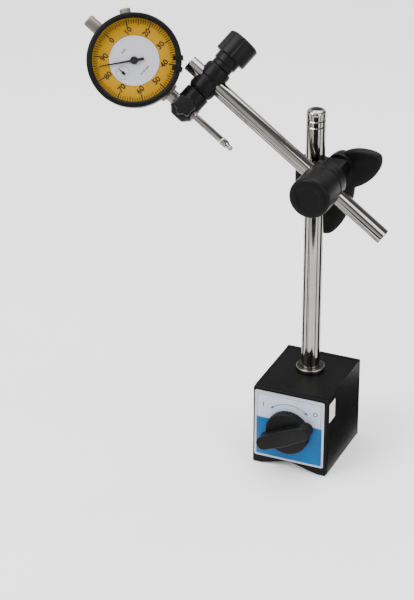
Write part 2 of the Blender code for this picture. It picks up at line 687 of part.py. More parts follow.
def make_carrier(carrier):
    """The indicator's carrier. Its origin is in the middle of the stem's bore."""
    top = STEM_BORE_PLACE + BLOCK_BOTTOM - GAP
    bottom = top - CARRIER_LENGTH
    body = turned("indicator_carrier",
                  [(0, top), (CARRIER_RADIUS - CARRIER_CHAMFER, top), (CARRIER_RADIUS, top - CARRIER_CHAMFER),
                   (CARRIER_RADIUS, bottom + CARRIER_CONE), (CARRIER_RADIUS * 0.55, bottom), (0, bottom)],
                  (0, 0, 0), WORLD_X, carrier, "black", steps=40)
    past = CARRIER_RADIUS * 1.5
    cut(body, bar("stem_bore_cutter", (0, 0, -past), (0, 0, past), STEM_RADIUS + RUNNING, carrier))
    pivot_end = STEM_RADIUS + RUNNING + PIVOT_END_WALL
    cut(body, bar("pivot_end_cutter", (pivot_end, 0, 0), (top + REACH, 0, 0), PIVOT_RADIUS + GAP,
                  carrier, segments=24))
    pivot_start = STEM_BORE_PLACE - ROD_BORE - PIVOT_TOP_WALL - GAP
    bar("carrier_pivot", (pivot_end + GAP, 0, 0), (pivot_start, 0, 0), PIVOT_RADIUS, carrier, "nickel",
        segments=24)
    cut(body, bar("thumb_hole_cutter", (0, 0, 0), (0, -CARRIER_RADIUS - REACH, 0), THUMB_STUD + GAP,
                  carrier, segments=16))


def make_thumb_screw(thumb):
    start = -STEM_RADIUS - 2 * GAP
    head = -CARRIER_RADIUS - GAP
    screw = bar("stem_thumb_screw", (0, start, 0), (0, head - THUMB_LENGTH / 2, 0), THUMB_STUD, thumb,
                "black", segments=16)
    grip = outline("thumb_grip_cutter", lobed_points(THUMB_RADIUS, THUMB_FLUTE, THUMB_LOBES, 36),
                   (0, head - THUMB_LENGTH / 2, 0), THUMB_LENGTH, thumb, None, FACING_FRONT)
    soften(grip, THUMB_EDGE, 1)
    join(screw, grip)


# ---- the dial indicator -----------------------------------------------------------------------
# The frame's origin is the dial's centre, on the case's front edge: +Z is 12 o'clock and -Y the face.
CASE_FRONT = 0.0
CASE_BACK = CASE_FRONT + CASE_DEPTH
STEM_PLACE_Y = CASE_DEPTH / 2
BEZEL_BACK = CASE_FRONT - GAP
BEZEL_FRONT = BEZEL_BACK - BEZEL_DEPTH
BEZEL_RADIUS = CASE_RADIUS + BEZEL_OVERHANG
BEZEL_INNER = BEZEL_RADIUS - BEZEL_WALL
WINDOW_RADIUS = BEZEL_INNER - BEZEL_LIP / 2
DIAL_RADIUS = BEZEL_INNER - DIAL_CLEARANCE
DIAL_FRONT = BEZEL_BACK - DIAL_THICKNESS - DIAL_SET_BACK
DIAL_ABOVE_BORE = CASE_RADIUS + CASE_ABOVE_BORE
CASE_BORE = CASE_RADIUS - CASE_WALL
STEM_TOP = -CASE_BORE + STEM_IN_CASE
STEM_BOTTOM = -CASE_RADIUS - STEM_LENGTH
CONTACT_TOP = STEM_BOTTOM - SPINDLE_OUT
SPINDLE_TOP = CASE_RADIUS - CAP_ROOM
SMALL_DIAL_X = -GEAR_DISTANCE
GEAR_MODULE = 2 * GEAR_DISTANCE / (GEAR_TEETH + PINION_TEETH)
GEAR_TIP = GEAR_MODULE * GEAR_TEETH / 2
GEAR_ROOT = GEAR_TIP - GEAR_MODULE * 1.6
PINION_TIP = GEAR_DISTANCE - GEAR_TIP - TOOTH_CLEARANCE
PINION_ROOT = PINION_TIP * 0.55
RACK_PITCH = SPINDLE_TRAVEL / RACK_PINION_TEETH
RACK_PINION_RADIUS = SPINDLE_TRAVEL / math.tau - TOOTH_CLEARANCE
RACK_PINION_X = -(SPINDLE_RADIUS + RACK_PINION_RADIUS + TOOTH_CLEARANCE)
RACK_PINION_Z = math.sqrt(GEAR_DISTANCE ** 2 - RACK_PINION_X ** 2)
MOVEMENT_FRONT = CASE_FRONT + MOVEMENT_SET_BACK
MOVEMENT_BACK = MOVEMENT_FRONT + MOVEMENT_THICKNESS
FIRST_GEAR = MOVEMENT_BACK + FIRST_GEAR_SPACE
SECOND_GEAR = FIRST_GEAR + GEAR_THICKNESS + SECOND_GEAR_SPACE


def make_case(indicator):
    inner = CASE_BORE
    flange = CASE_RADIUS - CASE_FLANGE_WIDTH
    case = turned("case",
                  [(inner, 0), (inner, -CASE_DEPTH + CASE_FLANGE), (flange, -CASE_DEPTH + CASE_FLANGE),
                   (flange, -CASE_DEPTH), (CASE_RADIUS - CASE_CHAMFER, -CASE_DEPTH),
                   (CASE_RADIUS, -CASE_DEPTH + CASE_CHAMFER), (CASE_RADIUS, 0)][::-1],
                  (0, CASE_FRONT, 0), -WORLD_Y, indicator, "satin_grey", steps=48, closed=True)
    cut(case, bar("stem_hole_cutter", (0, STEM_PLACE_Y, 0), (0, STEM_PLACE_Y, -CASE_RADIUS - REACH),
                  STEM_RADIUS + GAP, indicator))
    cut(case, bar("cap_hole_cutter", (0, STEM_PLACE_Y, 0), (0, STEM_PLACE_Y, CASE_RADIUS + REACH),
                  CAP_RADIUS - CAP_WALL, indicator, segments=24))
    make_bezel_screw(indicator, case)
    rim = CASE_RADIUS - BACK_SET_IN
    back = turned("back_cover",
                  [(0, BACK_THICKNESS), (rim - BACK_CHAMFER, BACK_THICKNESS), (rim, 0), (0, 0)],
                  (0, CASE_BACK + GAP, 0), WORLD_Y, indicator, "satin_grey", steps=48)
    width, depth, height = BACK_LUG
    lug_start = CASE_BACK + GAP + BACK_THICKNESS / 2
    lug = box("back_lug_cutter", (-width / 2, lug_start, -height / 2),
              (width / 2, lug_start + depth, height / 2), indicator)
    soften(lug, BACK_LUG_EDGE, 1)
    join(back, lug)
    lug_hole = CASE_BACK + BACK_THICKNESS + depth * BACK_LUG_BORE_SHARE
    cut(back, bar("lug_hole_cutter", (-width, lug_hole, 0), (width, lug_hole, 0), BACK_LUG_BORE,
                  indicator, segments=24))
    make_back_screws(indicator, case, back)


def make_back_screws(indicator, case, back):
    ring = CASE_RADIUS - CASE_FLANGE_WIDTH / 2 - CASE_WALL / 2
    shank = BACK_SCREW_RADIUS / 2
    outside = CASE_BACK + GAP + BACK_THICKNESS
    for number in range(1, 5):
        angle = math.tau * (number - 0.5) / 4
        across = Vector((ring * math.cos(angle), 0, ring * math.sin(angle)))
        place = across + WORLD_Y * (outside + GAP)
        hole = bar("back_screw_cutter_%d" % number, across + WORLD_Y * (CASE_BACK - CASE_FLANGE - REACH),
                   place, shank + GAP, indicator, segments=12)
        cut(case, hole)
        cut(back, hole)
        length = BACK_THICKNESS + CASE_FLANGE
        turned("back_screw_%d" % number,
               [(0, BACK_SCREW_HEAD), (BACK_SCREW_RADIUS * 0.7, BACK_SCREW_HEAD), (BACK_SCREW_RADIUS, 0),
                (shank, 0), (shank, -length), (0, -length)], place, WORLD_Y, indicator, "steel", steps=12)


def make_bezel_screw(indicator, case):
    """The screw that holds the bezel still, on the case's upper right."""
    radial = Vector((math.sin(BEZEL_SCREW_ANGLE), 0, math.cos(BEZEL_SCREW_ANGLE)))
    depth = WORLD_Y * (BEZEL_SCREW_RADIUS + BEZEL_SCREW_BACK)
    stud = BEZEL_SCREW_RADIUS / 3
    cut(case, bar("bezel_screw_cutter", radial * (CASE_BORE - REACH) + depth,
                  radial * (CASE_RADIUS + REACH) + depth, stud + GAP, indicator, segments=16))
    head = CASE_RADIUS + GAP * 2 - CASE_BORE
    length = head + BEZEL_SCREW_LENGTH
    turned("bezel_screw",
           [(0, length), (BEZEL_SCREW_RADIUS - EDGE, length), (BEZEL_SCREW_RADIUS, length - EDGE),
            (BEZEL_SCREW_RADIUS, head), (stud, head), (stud, 0), (0, 0)],
           radial * CASE_BORE + depth, radial, indicator, "satin_grey", steps=24)


def make_stem_and_spindle(indicator, spindle):
    bore = SPINDLE_RADIUS + SPINDLE_CLEARANCE
    turned("stem", [(bore, STEM_TOP), (STEM_RADIUS, STEM_TOP), (STEM_RADIUS, STEM_BOTTOM + EDGE),
                    (STEM_RADIUS - EDGE, STEM_BOTTOM), (bore, STEM_BOTTOM)],
           (0, STEM_PLACE_Y, 0), WORLD_Z, indicator, "chrome", steps=32, closed=True)
    rod = bar("spindle", (0, STEM_PLACE_Y, CONTACT_TOP), (0, STEM_PLACE_Y, SPINDLE_TOP),
              SPINDLE_RADIUS, spindle, "chrome", segments=24)
    cut(rod, make_rack_cutter(spindle))
    turned("contact_point",
           contact_profile(), (0, STEM_PLACE_Y, CONTACT_TOP - GAP), WORLD_Z, spindle, "chrome", steps=24)
    pin_start = STEM_PLACE_Y + SPINDLE_RADIUS + GAP
    bar("guide_pin", (0, pin_start, GUIDE_PIN_PLACE), (0, pin_start + GUIDE_PIN_LENGTH, GUIDE_PIN_PLACE),
        GUIDE_PIN_RADIUS, spindle, "steel", segments=12)


def make_rack_cutter(spindle):
    """A saw-edged strip: it leaves the rack's teeth on the spindle's -X side."""
    count = int(RACK_LENGTH / RACK_PITCH)
    low = RACK_PINION_Z - RACK_LENGTH / 2
    edge = RACK_TOOTH - SPINDLE_RADIUS
    points = [(-SPINDLE_RADIUS - REACH, low)]
    for tooth in range(count):
        points.append((edge, low + RACK_PITCH * tooth))
        points.append((-SPINDLE_RADIUS, low + RACK_PITCH * (tooth + 0.5)))
    points.append((edge, low + RACK_PITCH * count))
    points.append((-SPINDLE_RADIUS - REACH, low + RACK_PITCH * count))
    return outline("rack_cutter", points, (0, STEM_PLACE_Y, 0), 4 * SPINDLE_RADIUS, spindle,
                   None, FACING_FRONT)


def contact_profile():
    """The holder, its taper and the ball at its end."""
    neck = BALL_RADIUS * 0.8
    ball_centre = -CONTACT_LENGTH - BALL_RADIUS * 0.6
    profile = [(0, 0), (CONTACT_RADIUS, 0), (CONTACT_RADIUS, -CONTACT_LENGTH * 0.6), (neck, -CONTACT_LENGTH)]
    for degrees in (-25, -12, 22, 45, 67):
        angle = math.radians(degrees)
        profile.append((BALL_RADIUS * math.cos(angle), ball_centre - BALL_RADIUS * math.sin(angle)))
    profile.append((0, ball_centre - BALL_RADIUS))
    return profile


def make_spindle_cap(indicator):
    bore = CAP_RADIUS - CAP_WALL
    low = CASE_RADIUS + GAP
    inside = SPINDLE_TOP + SPINDLE_TRAVEL + CAP_ROOM
    high = inside + CAP_WALL
    turned("spindle_cap", [(0, high), (CAP_RADIUS - CAP_CHAMFER, high), (CAP_RADIUS, high - CAP_CHAMFER),
                           (CAP_RADIUS, low), (bore, low), (bore, inside), (0, inside)],
           (0, STEM_PLACE_Y, 0), WORLD_Z, indicator, "satin_grey", steps=24)


def make_bezel(bezel):
    depth = BEZEL_DEPTH
    ring = [(BEZEL_RADIUS - BEZEL_CHAMFER, depth), (BEZEL_RADIUS, depth - BEZEL_CHAMFER),
            (BEZEL_RADIUS, 0), (BEZEL_INNER, 0), (BEZEL_INNER, depth - BEZEL_FRONT_LIP),
            (WINDOW_RADIUS, depth - BEZEL_FRONT_LIP), (WINDOW_RADIUS, depth - WINDOW_CHAMFER),
            (WINDOW_RADIUS + WINDOW_CHAMFER, depth)]
    turned("bezel", ring, (0, BEZEL_BACK, 0), -WORLD_Y, bezel, "black", steps=48, closed=True)
    glass_front = BEZEL_FRONT + BEZEL_FRONT_LIP + GAP
    bar("crystal", (0, glass_front, 0), (0, glass_front + CRYSTAL_THICKNESS, 0), BEZEL_INNER - GAP,
        bezel, "glass", segments=48)
    for number, angle in enumerate(MARKER_ANGLES, start=1):
        make_marker(bezel, number, angle)


def make_marker(bezel, number, angle):
    """A tolerance marker: a tab on the bezel's face with a skirt down its side."""
    hand = make_frame("marker_place_%d" % number, bezel, (0, 0, 0), (0, angle, 0))
    half = MARKER_WIDTH / 2
    outer = BEZEL_RADIUS + GAP + MARKER_THICKNESS
    face = BEZEL_FRONT - GAP
    inner = WINDOW_RADIUS - MARKER_OVER_WINDOW
    tab = box("tolerance_marker_%d" % number, (-half, face - MARKER_THICKNESS, inner),
              (half, face, outer), hand, "black")
    skirt = box("marker_skirt_cutter_%d" % number, (-half, face - MARKER_THICKNESS, BEZEL_RADIUS + GAP),
                (half, BEZEL_BACK - MARKER_SKIRT_GAP, outer), hand)
    join(tab, skirt)


def make_dial(bezel, indicator):
    """The outer ring turns with the bezel. The centre stays with the case."""
    inner = CENTRE_DIAL_RADIUS + GAP
    turned("dial_ring", [(inner, DIAL_THICKNESS), (DIAL_RADIUS, DIAL_THICKNESS), (DIAL_RADIUS, 0),
                         (inner, 0)], (0, DIAL_FRONT + DIAL_THICKNESS, 0), -WORLD_Y, bezel, "yellow",
           steps=48, closed=True)
    plate = bar("centre_dial", (0, DIAL_FRONT, 0), (0, DIAL_FRONT + DIAL_THICKNESS, 0),
                CENTRE_DIAL_RADIUS, indicator, "white", segments=48)
    for number, place in enumerate((0, SMALL_DIAL_X)):
        radius = ARBOR_RADIUS + RUNNING
        cut(plate, bar("arbor_cutter_%d" % number, (place, DIAL_FRONT - REACH, 0),
                       (place, DIAL_FRONT + DIAL_THICKNESS + REACH, 0), radius, indicator, segments=12))


def make_hand(name, frame, length, tail, half_width, hub, front):
    """A pointer: a tapered blade with a round hub."""
    blade = [(-half_width * 1.6, -tail), (half_width * 1.6, -tail), (half_width * 1.2, 0),
             (half_width * 0.4, length), (-half_width * 0.4, length), (-half_width * 1.2, 0)]
    middle = (0, front + POINTER_THICKNESS / 2, 0)
    piece = outline(name, blade, middle, POINTER_THICKNESS, frame, "black", FACING_FRONT)
    join(piece, bar(name + "_hub_cutter", (0, front - POINTER_THICKNESS * 0.4, 0),
                    (0, front + POINTER_THICKNESS * 1.2, 0), hub, frame, segments=20))


def make_gears(centre, small, rack):
    """The gear train, behind the movement plate."""
    gear = toothed_points(GEAR_TEETH, GEAR_TIP, GEAR_ROOT)
    pinion = toothed_points(PINION_TEETH, PINION_TIP, PINION_ROOT)
    pinion_end = SECOND_GEAR + GEAR_THICKNESS + PINION_PROUD
    pinion_start = MOVEMENT_BACK + GAP
    centre_arbor = outline("centre_pinion", pinion, (0, (pinion_start + pinion_end) / 2, 0),
                           pinion_end - pinion_start, centre, "brass", FACING_FRONT)
    hand_back = DIAL_FRONT - POINTER_LIFT + POINTER_THICKNESS * 1.2
    join(centre_arbor, bar("centre_arbor_cutter", (0, hand_back + GAP, 0),
                           (0, (pinion_start + pinion_end) / 2, 0), ARBOR_RADIUS, centre, segments=12))
    small_gear = outline("hairspring_gear", gear, (0, SECOND_GEAR + GEAR_THICKNESS / 2, 0),
                         GEAR_THICKNESS, small, "brass", FACING_FRONT)
    small_back = DIAL_FRONT - SMALL_POINTER_LIFT + POINTER_THICKNESS * 1.2
    join(small_gear, bar("small_arbor_cutter", (0, small_back + GAP, 0),
                         (0, SECOND_GEAR + GEAR_THICKNESS / 2, 0), ARBOR_RADIUS, small, segments=12))
    rack_gear = outline("rack_pinion", gear, (0, FIRST_GEAR + GEAR_THICKNESS / 2, 0), GEAR_THICKNESS,
                        rack, "brass", FACING_FRONT)
    teeth = toothed_points(RACK_PINION_TEETH, RACK_PINION_RADIUS, RACK_PINION_RADIUS - RACK_TOOTH)
    pinion_depth = STEM_PLACE_Y + SPINDLE_RADIUS / 2
    gear_middle = FIRST_GEAR + GEAR_THICKNESS / 2
    middle = (gear_middle + pinion_depth) / 2
    join(rack_gear, outline("rack_pinion_cutter", teeth, (0, middle, 0), pinion_depth - gear_middle,
                            rack, None, FACING_FRONT))
    join(rack_gear, bar("rack_arbor_cutter", (0, MOVEMENT_FRONT + GAP, 0), (0, gear_middle, 0),
                        ARBOR_RADIUS, rack, segments=12))


def make_movement_plate(indicator):
    plate = bar("movement_plate", (0, MOVEMENT_FRONT, 0), (0, MOVEMENT_BACK, 0), CASE_BORE - GAP,
                indicator, "brass", segments=48)
    places = ((0, 0), (SMALL_DIAL_X, 0), (RACK_PINION_X, RACK_PINION_Z))
    for number, (across, up) in enumerate(places):
        cut(plate, bar("pivot_cutter_%d" % number, (across, MOVEMENT_FRONT - REACH, up),
                       (across, MOVEMENT_BACK + REACH, up), ARBOR_RADIUS + RUNNING, indicator, segments=16))


def make_return_spring(indicator):
    """The spindle's return spring, drawn as its coil."""
    curve = bpy.data.curves.new("return_spring", "CURVE")
    curve.dimensions = "3D"
    curve.bevel_depth = SPRING_WIRE
    curve.bevel_resolution = 0
    curve.use_fill_caps = True
    per_turn = 8
    count = SPRING_TURNS * per_turn + 1
    spline = curve.splines.new("POLY")
    spline.points.add(count - 1)
    for step, point in enumerate(spline.points):
        angle = math.tau * step / per_turn
        height = SPRING_TOP - SPRING_LENGTH * step / (count - 1)
        point.co = (SPRING_RADIUS * math.cos(angle), SPRING_RADIUS * math.sin(angle), height, 1)
    spring = add_object("return_spring", curve, indicator, "steel")
    spring.location = (SPRING_PLACE_X, STEM_PLACE_Y, 0)


def make_indicator(carrier):
    body = make_frame("indicator_datum", carrier, (0, -STEM_PLACE_Y, DIAL_ABOVE_BORE))
    make_case(body)
    make_stem_and_spindle(body, make_frame("spindle_axis", body, (0, 0, 0)))
    make_spindle_cap(body)
    bezel = make_frame("bezel_axis", body, (0, 0, 0))
    make_bezel(bezel)
    make_dial(bezel, body)
    make_movement_plate(body)
    make_return_spring(body)
    centre = make_frame("centre_arbor", body, (0, 0, 0), (0, -POINTER_REST, 0))
    small = make_frame("small_arbor", body, (SMALL_DIAL_X, 0, 0))
    rack = make_frame("rack_arbor", body, (RACK_PINION_X, 0, RACK_PINION_Z))
    make_hand("pointer", centre, POINTER_LENGTH, POINTER_TAIL, POINTER_HALF_WIDTH, POINTER_HUB,
              DIAL_FRONT - POINTER_LIFT)
    make_hand("revolution_pointer", small, SMALL_POINTER_LENGTH, SMALL_POINTER_TAIL,
              SMALL_POINTER_HALF_WIDTH, SMALL_POINTER_HUB, DIAL_FRONT - SMALL_POINTER_LIFT)
    make_gears(centre, small, rack)


def make_all():
    make_base()
    make_magnet_switch()
    make_post()
    slide = make_frame("post_slide", None, (0, POST_PLACE_Y, CLAMP_HEIGHT))
    make_post_bush(slide)
    swivel = make_frame("post_swivel", slide, (0, 0, 0))
    make_post_lug(swivel)
    tilt = make_frame("arm_tilt", swivel, (CLAMP_OFFSET, 0, 0), (0, ARM_TILT - math.pi / 2, 0))
    make_tilting_clamp(tilt)
    make_wing_knob(make_frame("wing_axis", swivel, (CLAMP_OFFSET, 0, 0)))
    arm = make_frame("arm_slide", tilt, (0, ROD_PLACE_Y, 0))
    make_arm_rod(arm)
    end = make_frame("end_roll", arm, (0, 0, END_CLAMP_PLACE), (0, 0, END_CLAMP_ROLL))
    make_end_clamp(end)
    make_end_knob(make_frame("end_knob_axis", end, (0, 0, 0)))
    carrier = make_frame("carrier_axis", end, (-STEM_BORE_PLACE, 0, 0))
    make_carrier(carrier)
    make_thumb_screw(make_frame("thumb_axis", carrier, (0, 0, 0)))
    make_indicator(carrier)


make_all()
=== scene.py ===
import json
import math

import bmesh
import bpy
from mathutils import Matrix, Vector


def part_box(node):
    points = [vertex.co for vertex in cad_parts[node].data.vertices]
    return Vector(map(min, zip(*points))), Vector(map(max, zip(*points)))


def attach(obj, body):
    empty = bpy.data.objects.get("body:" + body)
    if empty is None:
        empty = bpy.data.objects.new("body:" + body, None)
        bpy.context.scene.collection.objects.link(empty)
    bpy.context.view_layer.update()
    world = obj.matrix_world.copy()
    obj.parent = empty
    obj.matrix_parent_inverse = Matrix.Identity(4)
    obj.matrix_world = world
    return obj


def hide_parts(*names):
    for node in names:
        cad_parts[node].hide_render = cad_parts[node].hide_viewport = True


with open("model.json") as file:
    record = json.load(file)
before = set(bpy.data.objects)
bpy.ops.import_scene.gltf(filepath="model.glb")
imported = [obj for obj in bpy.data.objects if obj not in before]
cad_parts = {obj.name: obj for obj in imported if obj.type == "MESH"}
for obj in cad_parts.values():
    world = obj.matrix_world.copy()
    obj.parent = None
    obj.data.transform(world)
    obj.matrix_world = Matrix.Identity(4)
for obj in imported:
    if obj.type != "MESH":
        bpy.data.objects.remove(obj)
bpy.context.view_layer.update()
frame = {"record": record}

MM = 0.001
GAP = 0.3 * MM
SMOOTH_BELOW = 35            # degrees: sharper edges than this stay sharp
JOINTS = {joint["name"]: joint for joint in frame["record"]["behaviour"]["joints"]}
FACING_FRONT = Matrix.Rotation(math.pi / 2, 4, "X")     # an outline's +Y becomes +Z, its +Z becomes -Y


# ---- frames: places and directions read from the joints ----
def axis_of(name):
    return Vector(JOINTS[name]["axis"]).normalized()


def place_of(name):
    return Vector(JOINTS[name]["pos_m"])


def frame_matrix(origin, across, back, up):
    matrix = Matrix((across, back, up)).transposed().to_4x4()
    matrix.translation = origin
    return matrix


ROD_AXIS = axis_of("arm_slide")
END_AXIS = axis_of("end_knob_turn")
DIAL_BACK = axis_of("bezel_turn")
WORLD_X = Vector((1, 0, 0))
WORLD_Y = Vector((0, 1, 0))
WORLD_Z = Vector((0, 0, 1))
DIAL = frame_matrix(place_of("bezel_turn"), END_AXIS, DIAL_BACK, ROD_AXIS)
END = frame_matrix(place_of("end_clamp_roll"), END_AXIS, DIAL_BACK, ROD_AXIS)
CARRIER = frame_matrix(place_of("carrier_turn"), END_AXIS, DIAL_BACK, ROD_AXIS)
POST_PLACE = place_of("post_swivel")
CLAMP_PLACE = place_of("arm_tilt")
ARM_ACROSS = WORLD_Y.cross(ROD_AXIS)
TILT = frame_matrix(CLAMP_PLACE, ARM_ACROSS, WORLD_Y, ROD_AXIS)
ROD_PLACE = place_of("end_clamp_roll") - CLAMP_PLACE
ROD_DEPTH = ROD_PLACE.dot(WORLD_Y)
ARM = TILT @ Matrix.Translation((0, ROD_DEPTH, 0))
WING = frame_matrix(place_of("wing_turn"), WORLD_X, WORLD_Y, WORLD_Z)
KNOB = frame_matrix(place_of("magnet_switch"), WORLD_X, WORLD_Y, WORLD_Z)


# ---- materials ----
BROAD_GRAIN = 60.0
BROAD_DETAIL = 3.0
FINE_DETAIL = 2.0
DARK_STOP = 0.3
LIGHT_STOP = 0.7
GLASS_GRAIN = 40.0
GLASS_ALPHA = 0.10
GLASS_SPECULAR = 0.4
GLASS_IOR = 1.5


def new_material(name, colour, roughness, metallic=0.0):
    material = bpy.data.materials.new(name)
    material.use_nodes = True
    shader = material.node_tree.nodes["Principled BSDF"]
    shader.inputs["Base Color"].default_value = (*colour, 1)
    shader.inputs["Roughness"].default_value = roughness
    shader.inputs["Metallic"].default_value = metallic
    return material, material.node_tree, shader


def noise(tree, scale, detail):
    coordinates = tree.nodes.new("ShaderNodeTexCoord")
    texture = tree.nodes.new("ShaderNodeTexNoise")
    texture.inputs["Scale"].default_value = scale
    texture.inputs["Detail"].default_value = detail
    tree.links.new(coordinates.outputs["Object"], texture.inputs["Vector"])
    return texture.outputs["Fac"]


def ramp(tree, value, stops):
    node = tree.nodes.new("ShaderNodeValToRGB")
    elements = node.color_ramp.elements
    while len(elements) < len(stops):
        elements.new(0.5)
    for element, (position, colour) in zip(elements, stops):
        element.position = position
        element.color = (*colour, 1)
    tree.links.new(value, node.inputs["Fac"])
    return node.outputs["Color"]


def vary_roughness(tree, shader, value, low, high):
    node = tree.nodes.new("ShaderNodeMapRange")
    node.inputs["To Min"].default_value = low
    node.inputs["To Max"].default_value = high
    tree.links.new(value, node.inputs["Value"])
    tree.links.new(node.outputs["Result"], shader.inputs["Roughness"])


def add_bump(tree, shader, value, strength, distance):
    node = tree.nodes.new("ShaderNodeBump")
    node.inputs["Strength"].default_value = strength
    node.inputs["Distance"].default_value = distance
    tree.links.new(value, node.inputs["Height"])
    tree.links.new(node.outputs["Normal"], shader.inputs["Normal"])


def grained(name, colour, light, roughness, metallic=0.0, grain=900.0, bump=0.00004, strength=0.35,
            specular=0.5):
    """A finish with a fine grain: its colour, gloss and surface all vary a little."""
    material, tree, shader = new_material(name, colour, roughness[0], metallic)
    shader.inputs["Specular IOR Level"].default_value = specular
    broad = noise(tree, BROAD_GRAIN, BROAD_DETAIL)
    fine = noise(tree, grain, FINE_DETAIL)
    tint = ramp(tree, broad, [(DARK_STOP, colour), (LIGHT_STOP, light)])
    tree.links.new(tint, shader.inputs["Base Color"])
    vary_roughness(tree, shader, fine, *roughness)
    add_bump(tree, shader, fine, strength, bump)
    return material


def make_glass():
    material, tree, shader = new_material("crystal_clear", (0.01, 0.01, 0.01), 0.03)
    shader.inputs["Alpha"].default_value = GLASS_ALPHA
    shader.inputs["IOR"].default_value = GLASS_IOR
    shader.inputs["Specular IOR Level"].default_value = GLASS_SPECULAR
    fine = noise(tree, GLASS_GRAIN, FINE_DETAIL)
    vary_roughness(tree, shader, fine, 0.02, 0.06)
    return material


MATERIALS = {
    "black_paint": grained("black_enamel", (0.003, 0.003, 0.003), (0.005, 0.005, 0.005), (0.32, 0.46),
                           grain=1400.0, bump=0.00005, strength=0.45, specular=0.09),
    "black_plastic": grained("black_moulding", (0.003, 0.003, 0.003), (0.006, 0.006, 0.006), (0.34, 0.50),
                             grain=2200.0, bump=0.00004, strength=0.4, specular=0.11),
    "chrome": grained("bright_chrome", (0.25, 0.24, 0.225), (0.30, 0.29, 0.27), (0.05, 0.11), 1.0,
                      grain=300.0, bump=0.000004, strength=0.15),
    "nickel": grained("satin_nickel", (0.125, 0.112, 0.095), (0.155, 0.141, 0.120), (0.18, 0.28), 1.0,
                      grain=600.0, bump=0.000008, strength=0.2),
    "steel": grained("ground_steel", (0.42, 0.42, 0.43), (0.52, 0.52, 0.52), (0.28, 0.40), 1.0,
                     grain=1500.0, bump=0.00001, strength=0.3),
    "magnet": grained("magnet_grey", (0.10, 0.10, 0.11), (0.16, 0.16, 0.17), (0.45, 0.60), 0.6),
    "aluminium": grained("plain_aluminium", (0.62, 0.62, 0.63), (0.70, 0.70, 0.71), (0.30, 0.42), 1.0,
                         grain=900.0, bump=0.00001, strength=0.3),
    "case_grey": grained("pearl_grey", (0.125, 0.113, 0.097), (0.165, 0.150, 0.130), (0.30, 0.42), 0.75,
                         grain=1800.0, bump=0.00001, strength=0.3),
    "dial_yellow": grained("dial_yellow", (0.44, 0.225, 0.0), (0.49, 0.260, 0.0005), (0.50, 0.60),
                           specular=0.05),
    "dial_white": grained("dial_white", (0.52, 0.52, 0.57), (0.58, 0.58, 0.63), (0.50, 0.60),
                          specular=0.1),
    "label_frame": grained("label_silver", (0.36, 0.37, 0.41), (0.44, 0.45, 0.49), (0.28, 0.38), 0.6),
    "label_pale": grained("label_lavender", (0.36, 0.39, 0.50), (0.42, 0.45, 0.56), (0.38, 0.48),
                          specular=0.2),
    "label": grained("label_blue", (0.0, 0.070, 0.220), (0.0, 0.090, 0.260), (0.34, 0.46), specular=0.2),
    "ink_blue": grained("ink_blue", (0.005, 0.05, 0.16), (0.01, 0.07, 0.20), (0.40, 0.50)),
    "sticker": grained("sticker_white", (0.60, 0.60, 0.56), (0.68, 0.68, 0.64), (0.50, 0.62)),
    "hand_black": grained("hand_black", (0.004, 0.004, 0.004), (0.008, 0.008, 0.008), (0.42, 0.52),
                          specular=0.2),
    "brass": grained("brass", (0.62, 0.43, 0.16), (0.72, 0.52, 0.22), (0.24, 0.34), 1.0),
    "glass": make_glass(),
}
CAD_FINISH = dict(MATERIALS)
CAD_FINISH["pole_iron"] = MATERIALS["black_paint"]


def dress_cad_nodes():
    slots = {item["node"]: item["material_slot"] for item in frame["record"]["subparts"]}
    for node, name in slots.items():
        mesh = bpy.data.objects[node].data
        mesh.materials.clear()
        mesh.materials.append(CAD_FINISH[name])


# ---- making pieces ----
ON_AXIS = 1e-7               # a smaller radius is a point on the axis


def finish_piece(name, shape, matrix, material, body, replaces=(), angle=SMOOTH_BELOW):
    """Puts a bmesh in its place as a piece, riding on its body."""
    bmesh.ops.recalc_face_normals(shape, faces=shape.faces)
    shape.transform(matrix)
    mesh = bpy.data.meshes.new(name)
    shape.to_mesh(mesh)
    shape.free()
    mesh.shade_smooth()
    mesh.set_sharp_from_angle(angle=math.radians(angle))
    mesh.materials.append(MATERIALS[material])
    piece = bpy.data.objects.new(name, mesh)
    bpy.context.scene.collection.objects.link(piece)
    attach(piece, body)
    if replaces:
        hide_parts(*replaces)
    return piece


def rounded(profile, radii, steps=4):
    """Rounds a profile's corners: radii gives each corner's radius, or 0 to keep it sharp."""
    points = []
    for index, (corner, radius) in enumerate(zip(profile, radii)):
        corner = Vector(corner)
        if radius <= 0:
            points.append(corner)
            continue
        before = (Vector(profile[index - 1]) - corner).normalized()
        after = (Vector(profile[(index + 1) % len(profile)]) - corner).normalized()
        start = corner + before * radius
        end = corner + after * radius
        for step in range(steps + 1):
            t = step / steps
            points.append(start * (1 - t) ** 2 + corner * 2 * t * (1 - t) + end * t ** 2)
    return [tuple(point) for point in points]


def wave(angle, count, depth):
    """A radius factor that dips by a depth, a number of times round."""
    return 1.0 - depth * (0.5 - 0.5 * math.cos(count * angle))


def lathe(profile, closed=False, count=96, ripple=None):
    """A turned bmesh about +Z from (radius, height) pairs. A ripple function scales the radius."""
    shape = bmesh.new()
    rings = []
    for radius, height in profile:
        if radius < ON_AXIS:
            rings.append([shape.verts.new((0, 0, height))])
            continue
        ring = []
        for step in range(count):
            angle = math.tau * step / count
            reach = radius * (ripple(angle, radius, height) if ripple else 1.0)
            ring.append(shape.verts.new((reach * math.cos(angle), reach * math.sin(angle), height)))
        rings.append(ring)
    pairs = list(zip(rings, rings[1:]))
    if closed:
        pairs.append((rings[-1], rings[0]))
    for upper, lower in pairs:
        for step in range(count):
            after = (step + 1) % count
            corners = [upper[step % len(upper)], lower[step % len(lower)]]
            if len(lower) > 1:
                corners.append(lower[after])
            if len(upper) > 1:
                corners.append(upper[after])
            if len(corners) > 2:
                shape.faces.new(corners)
    return shape


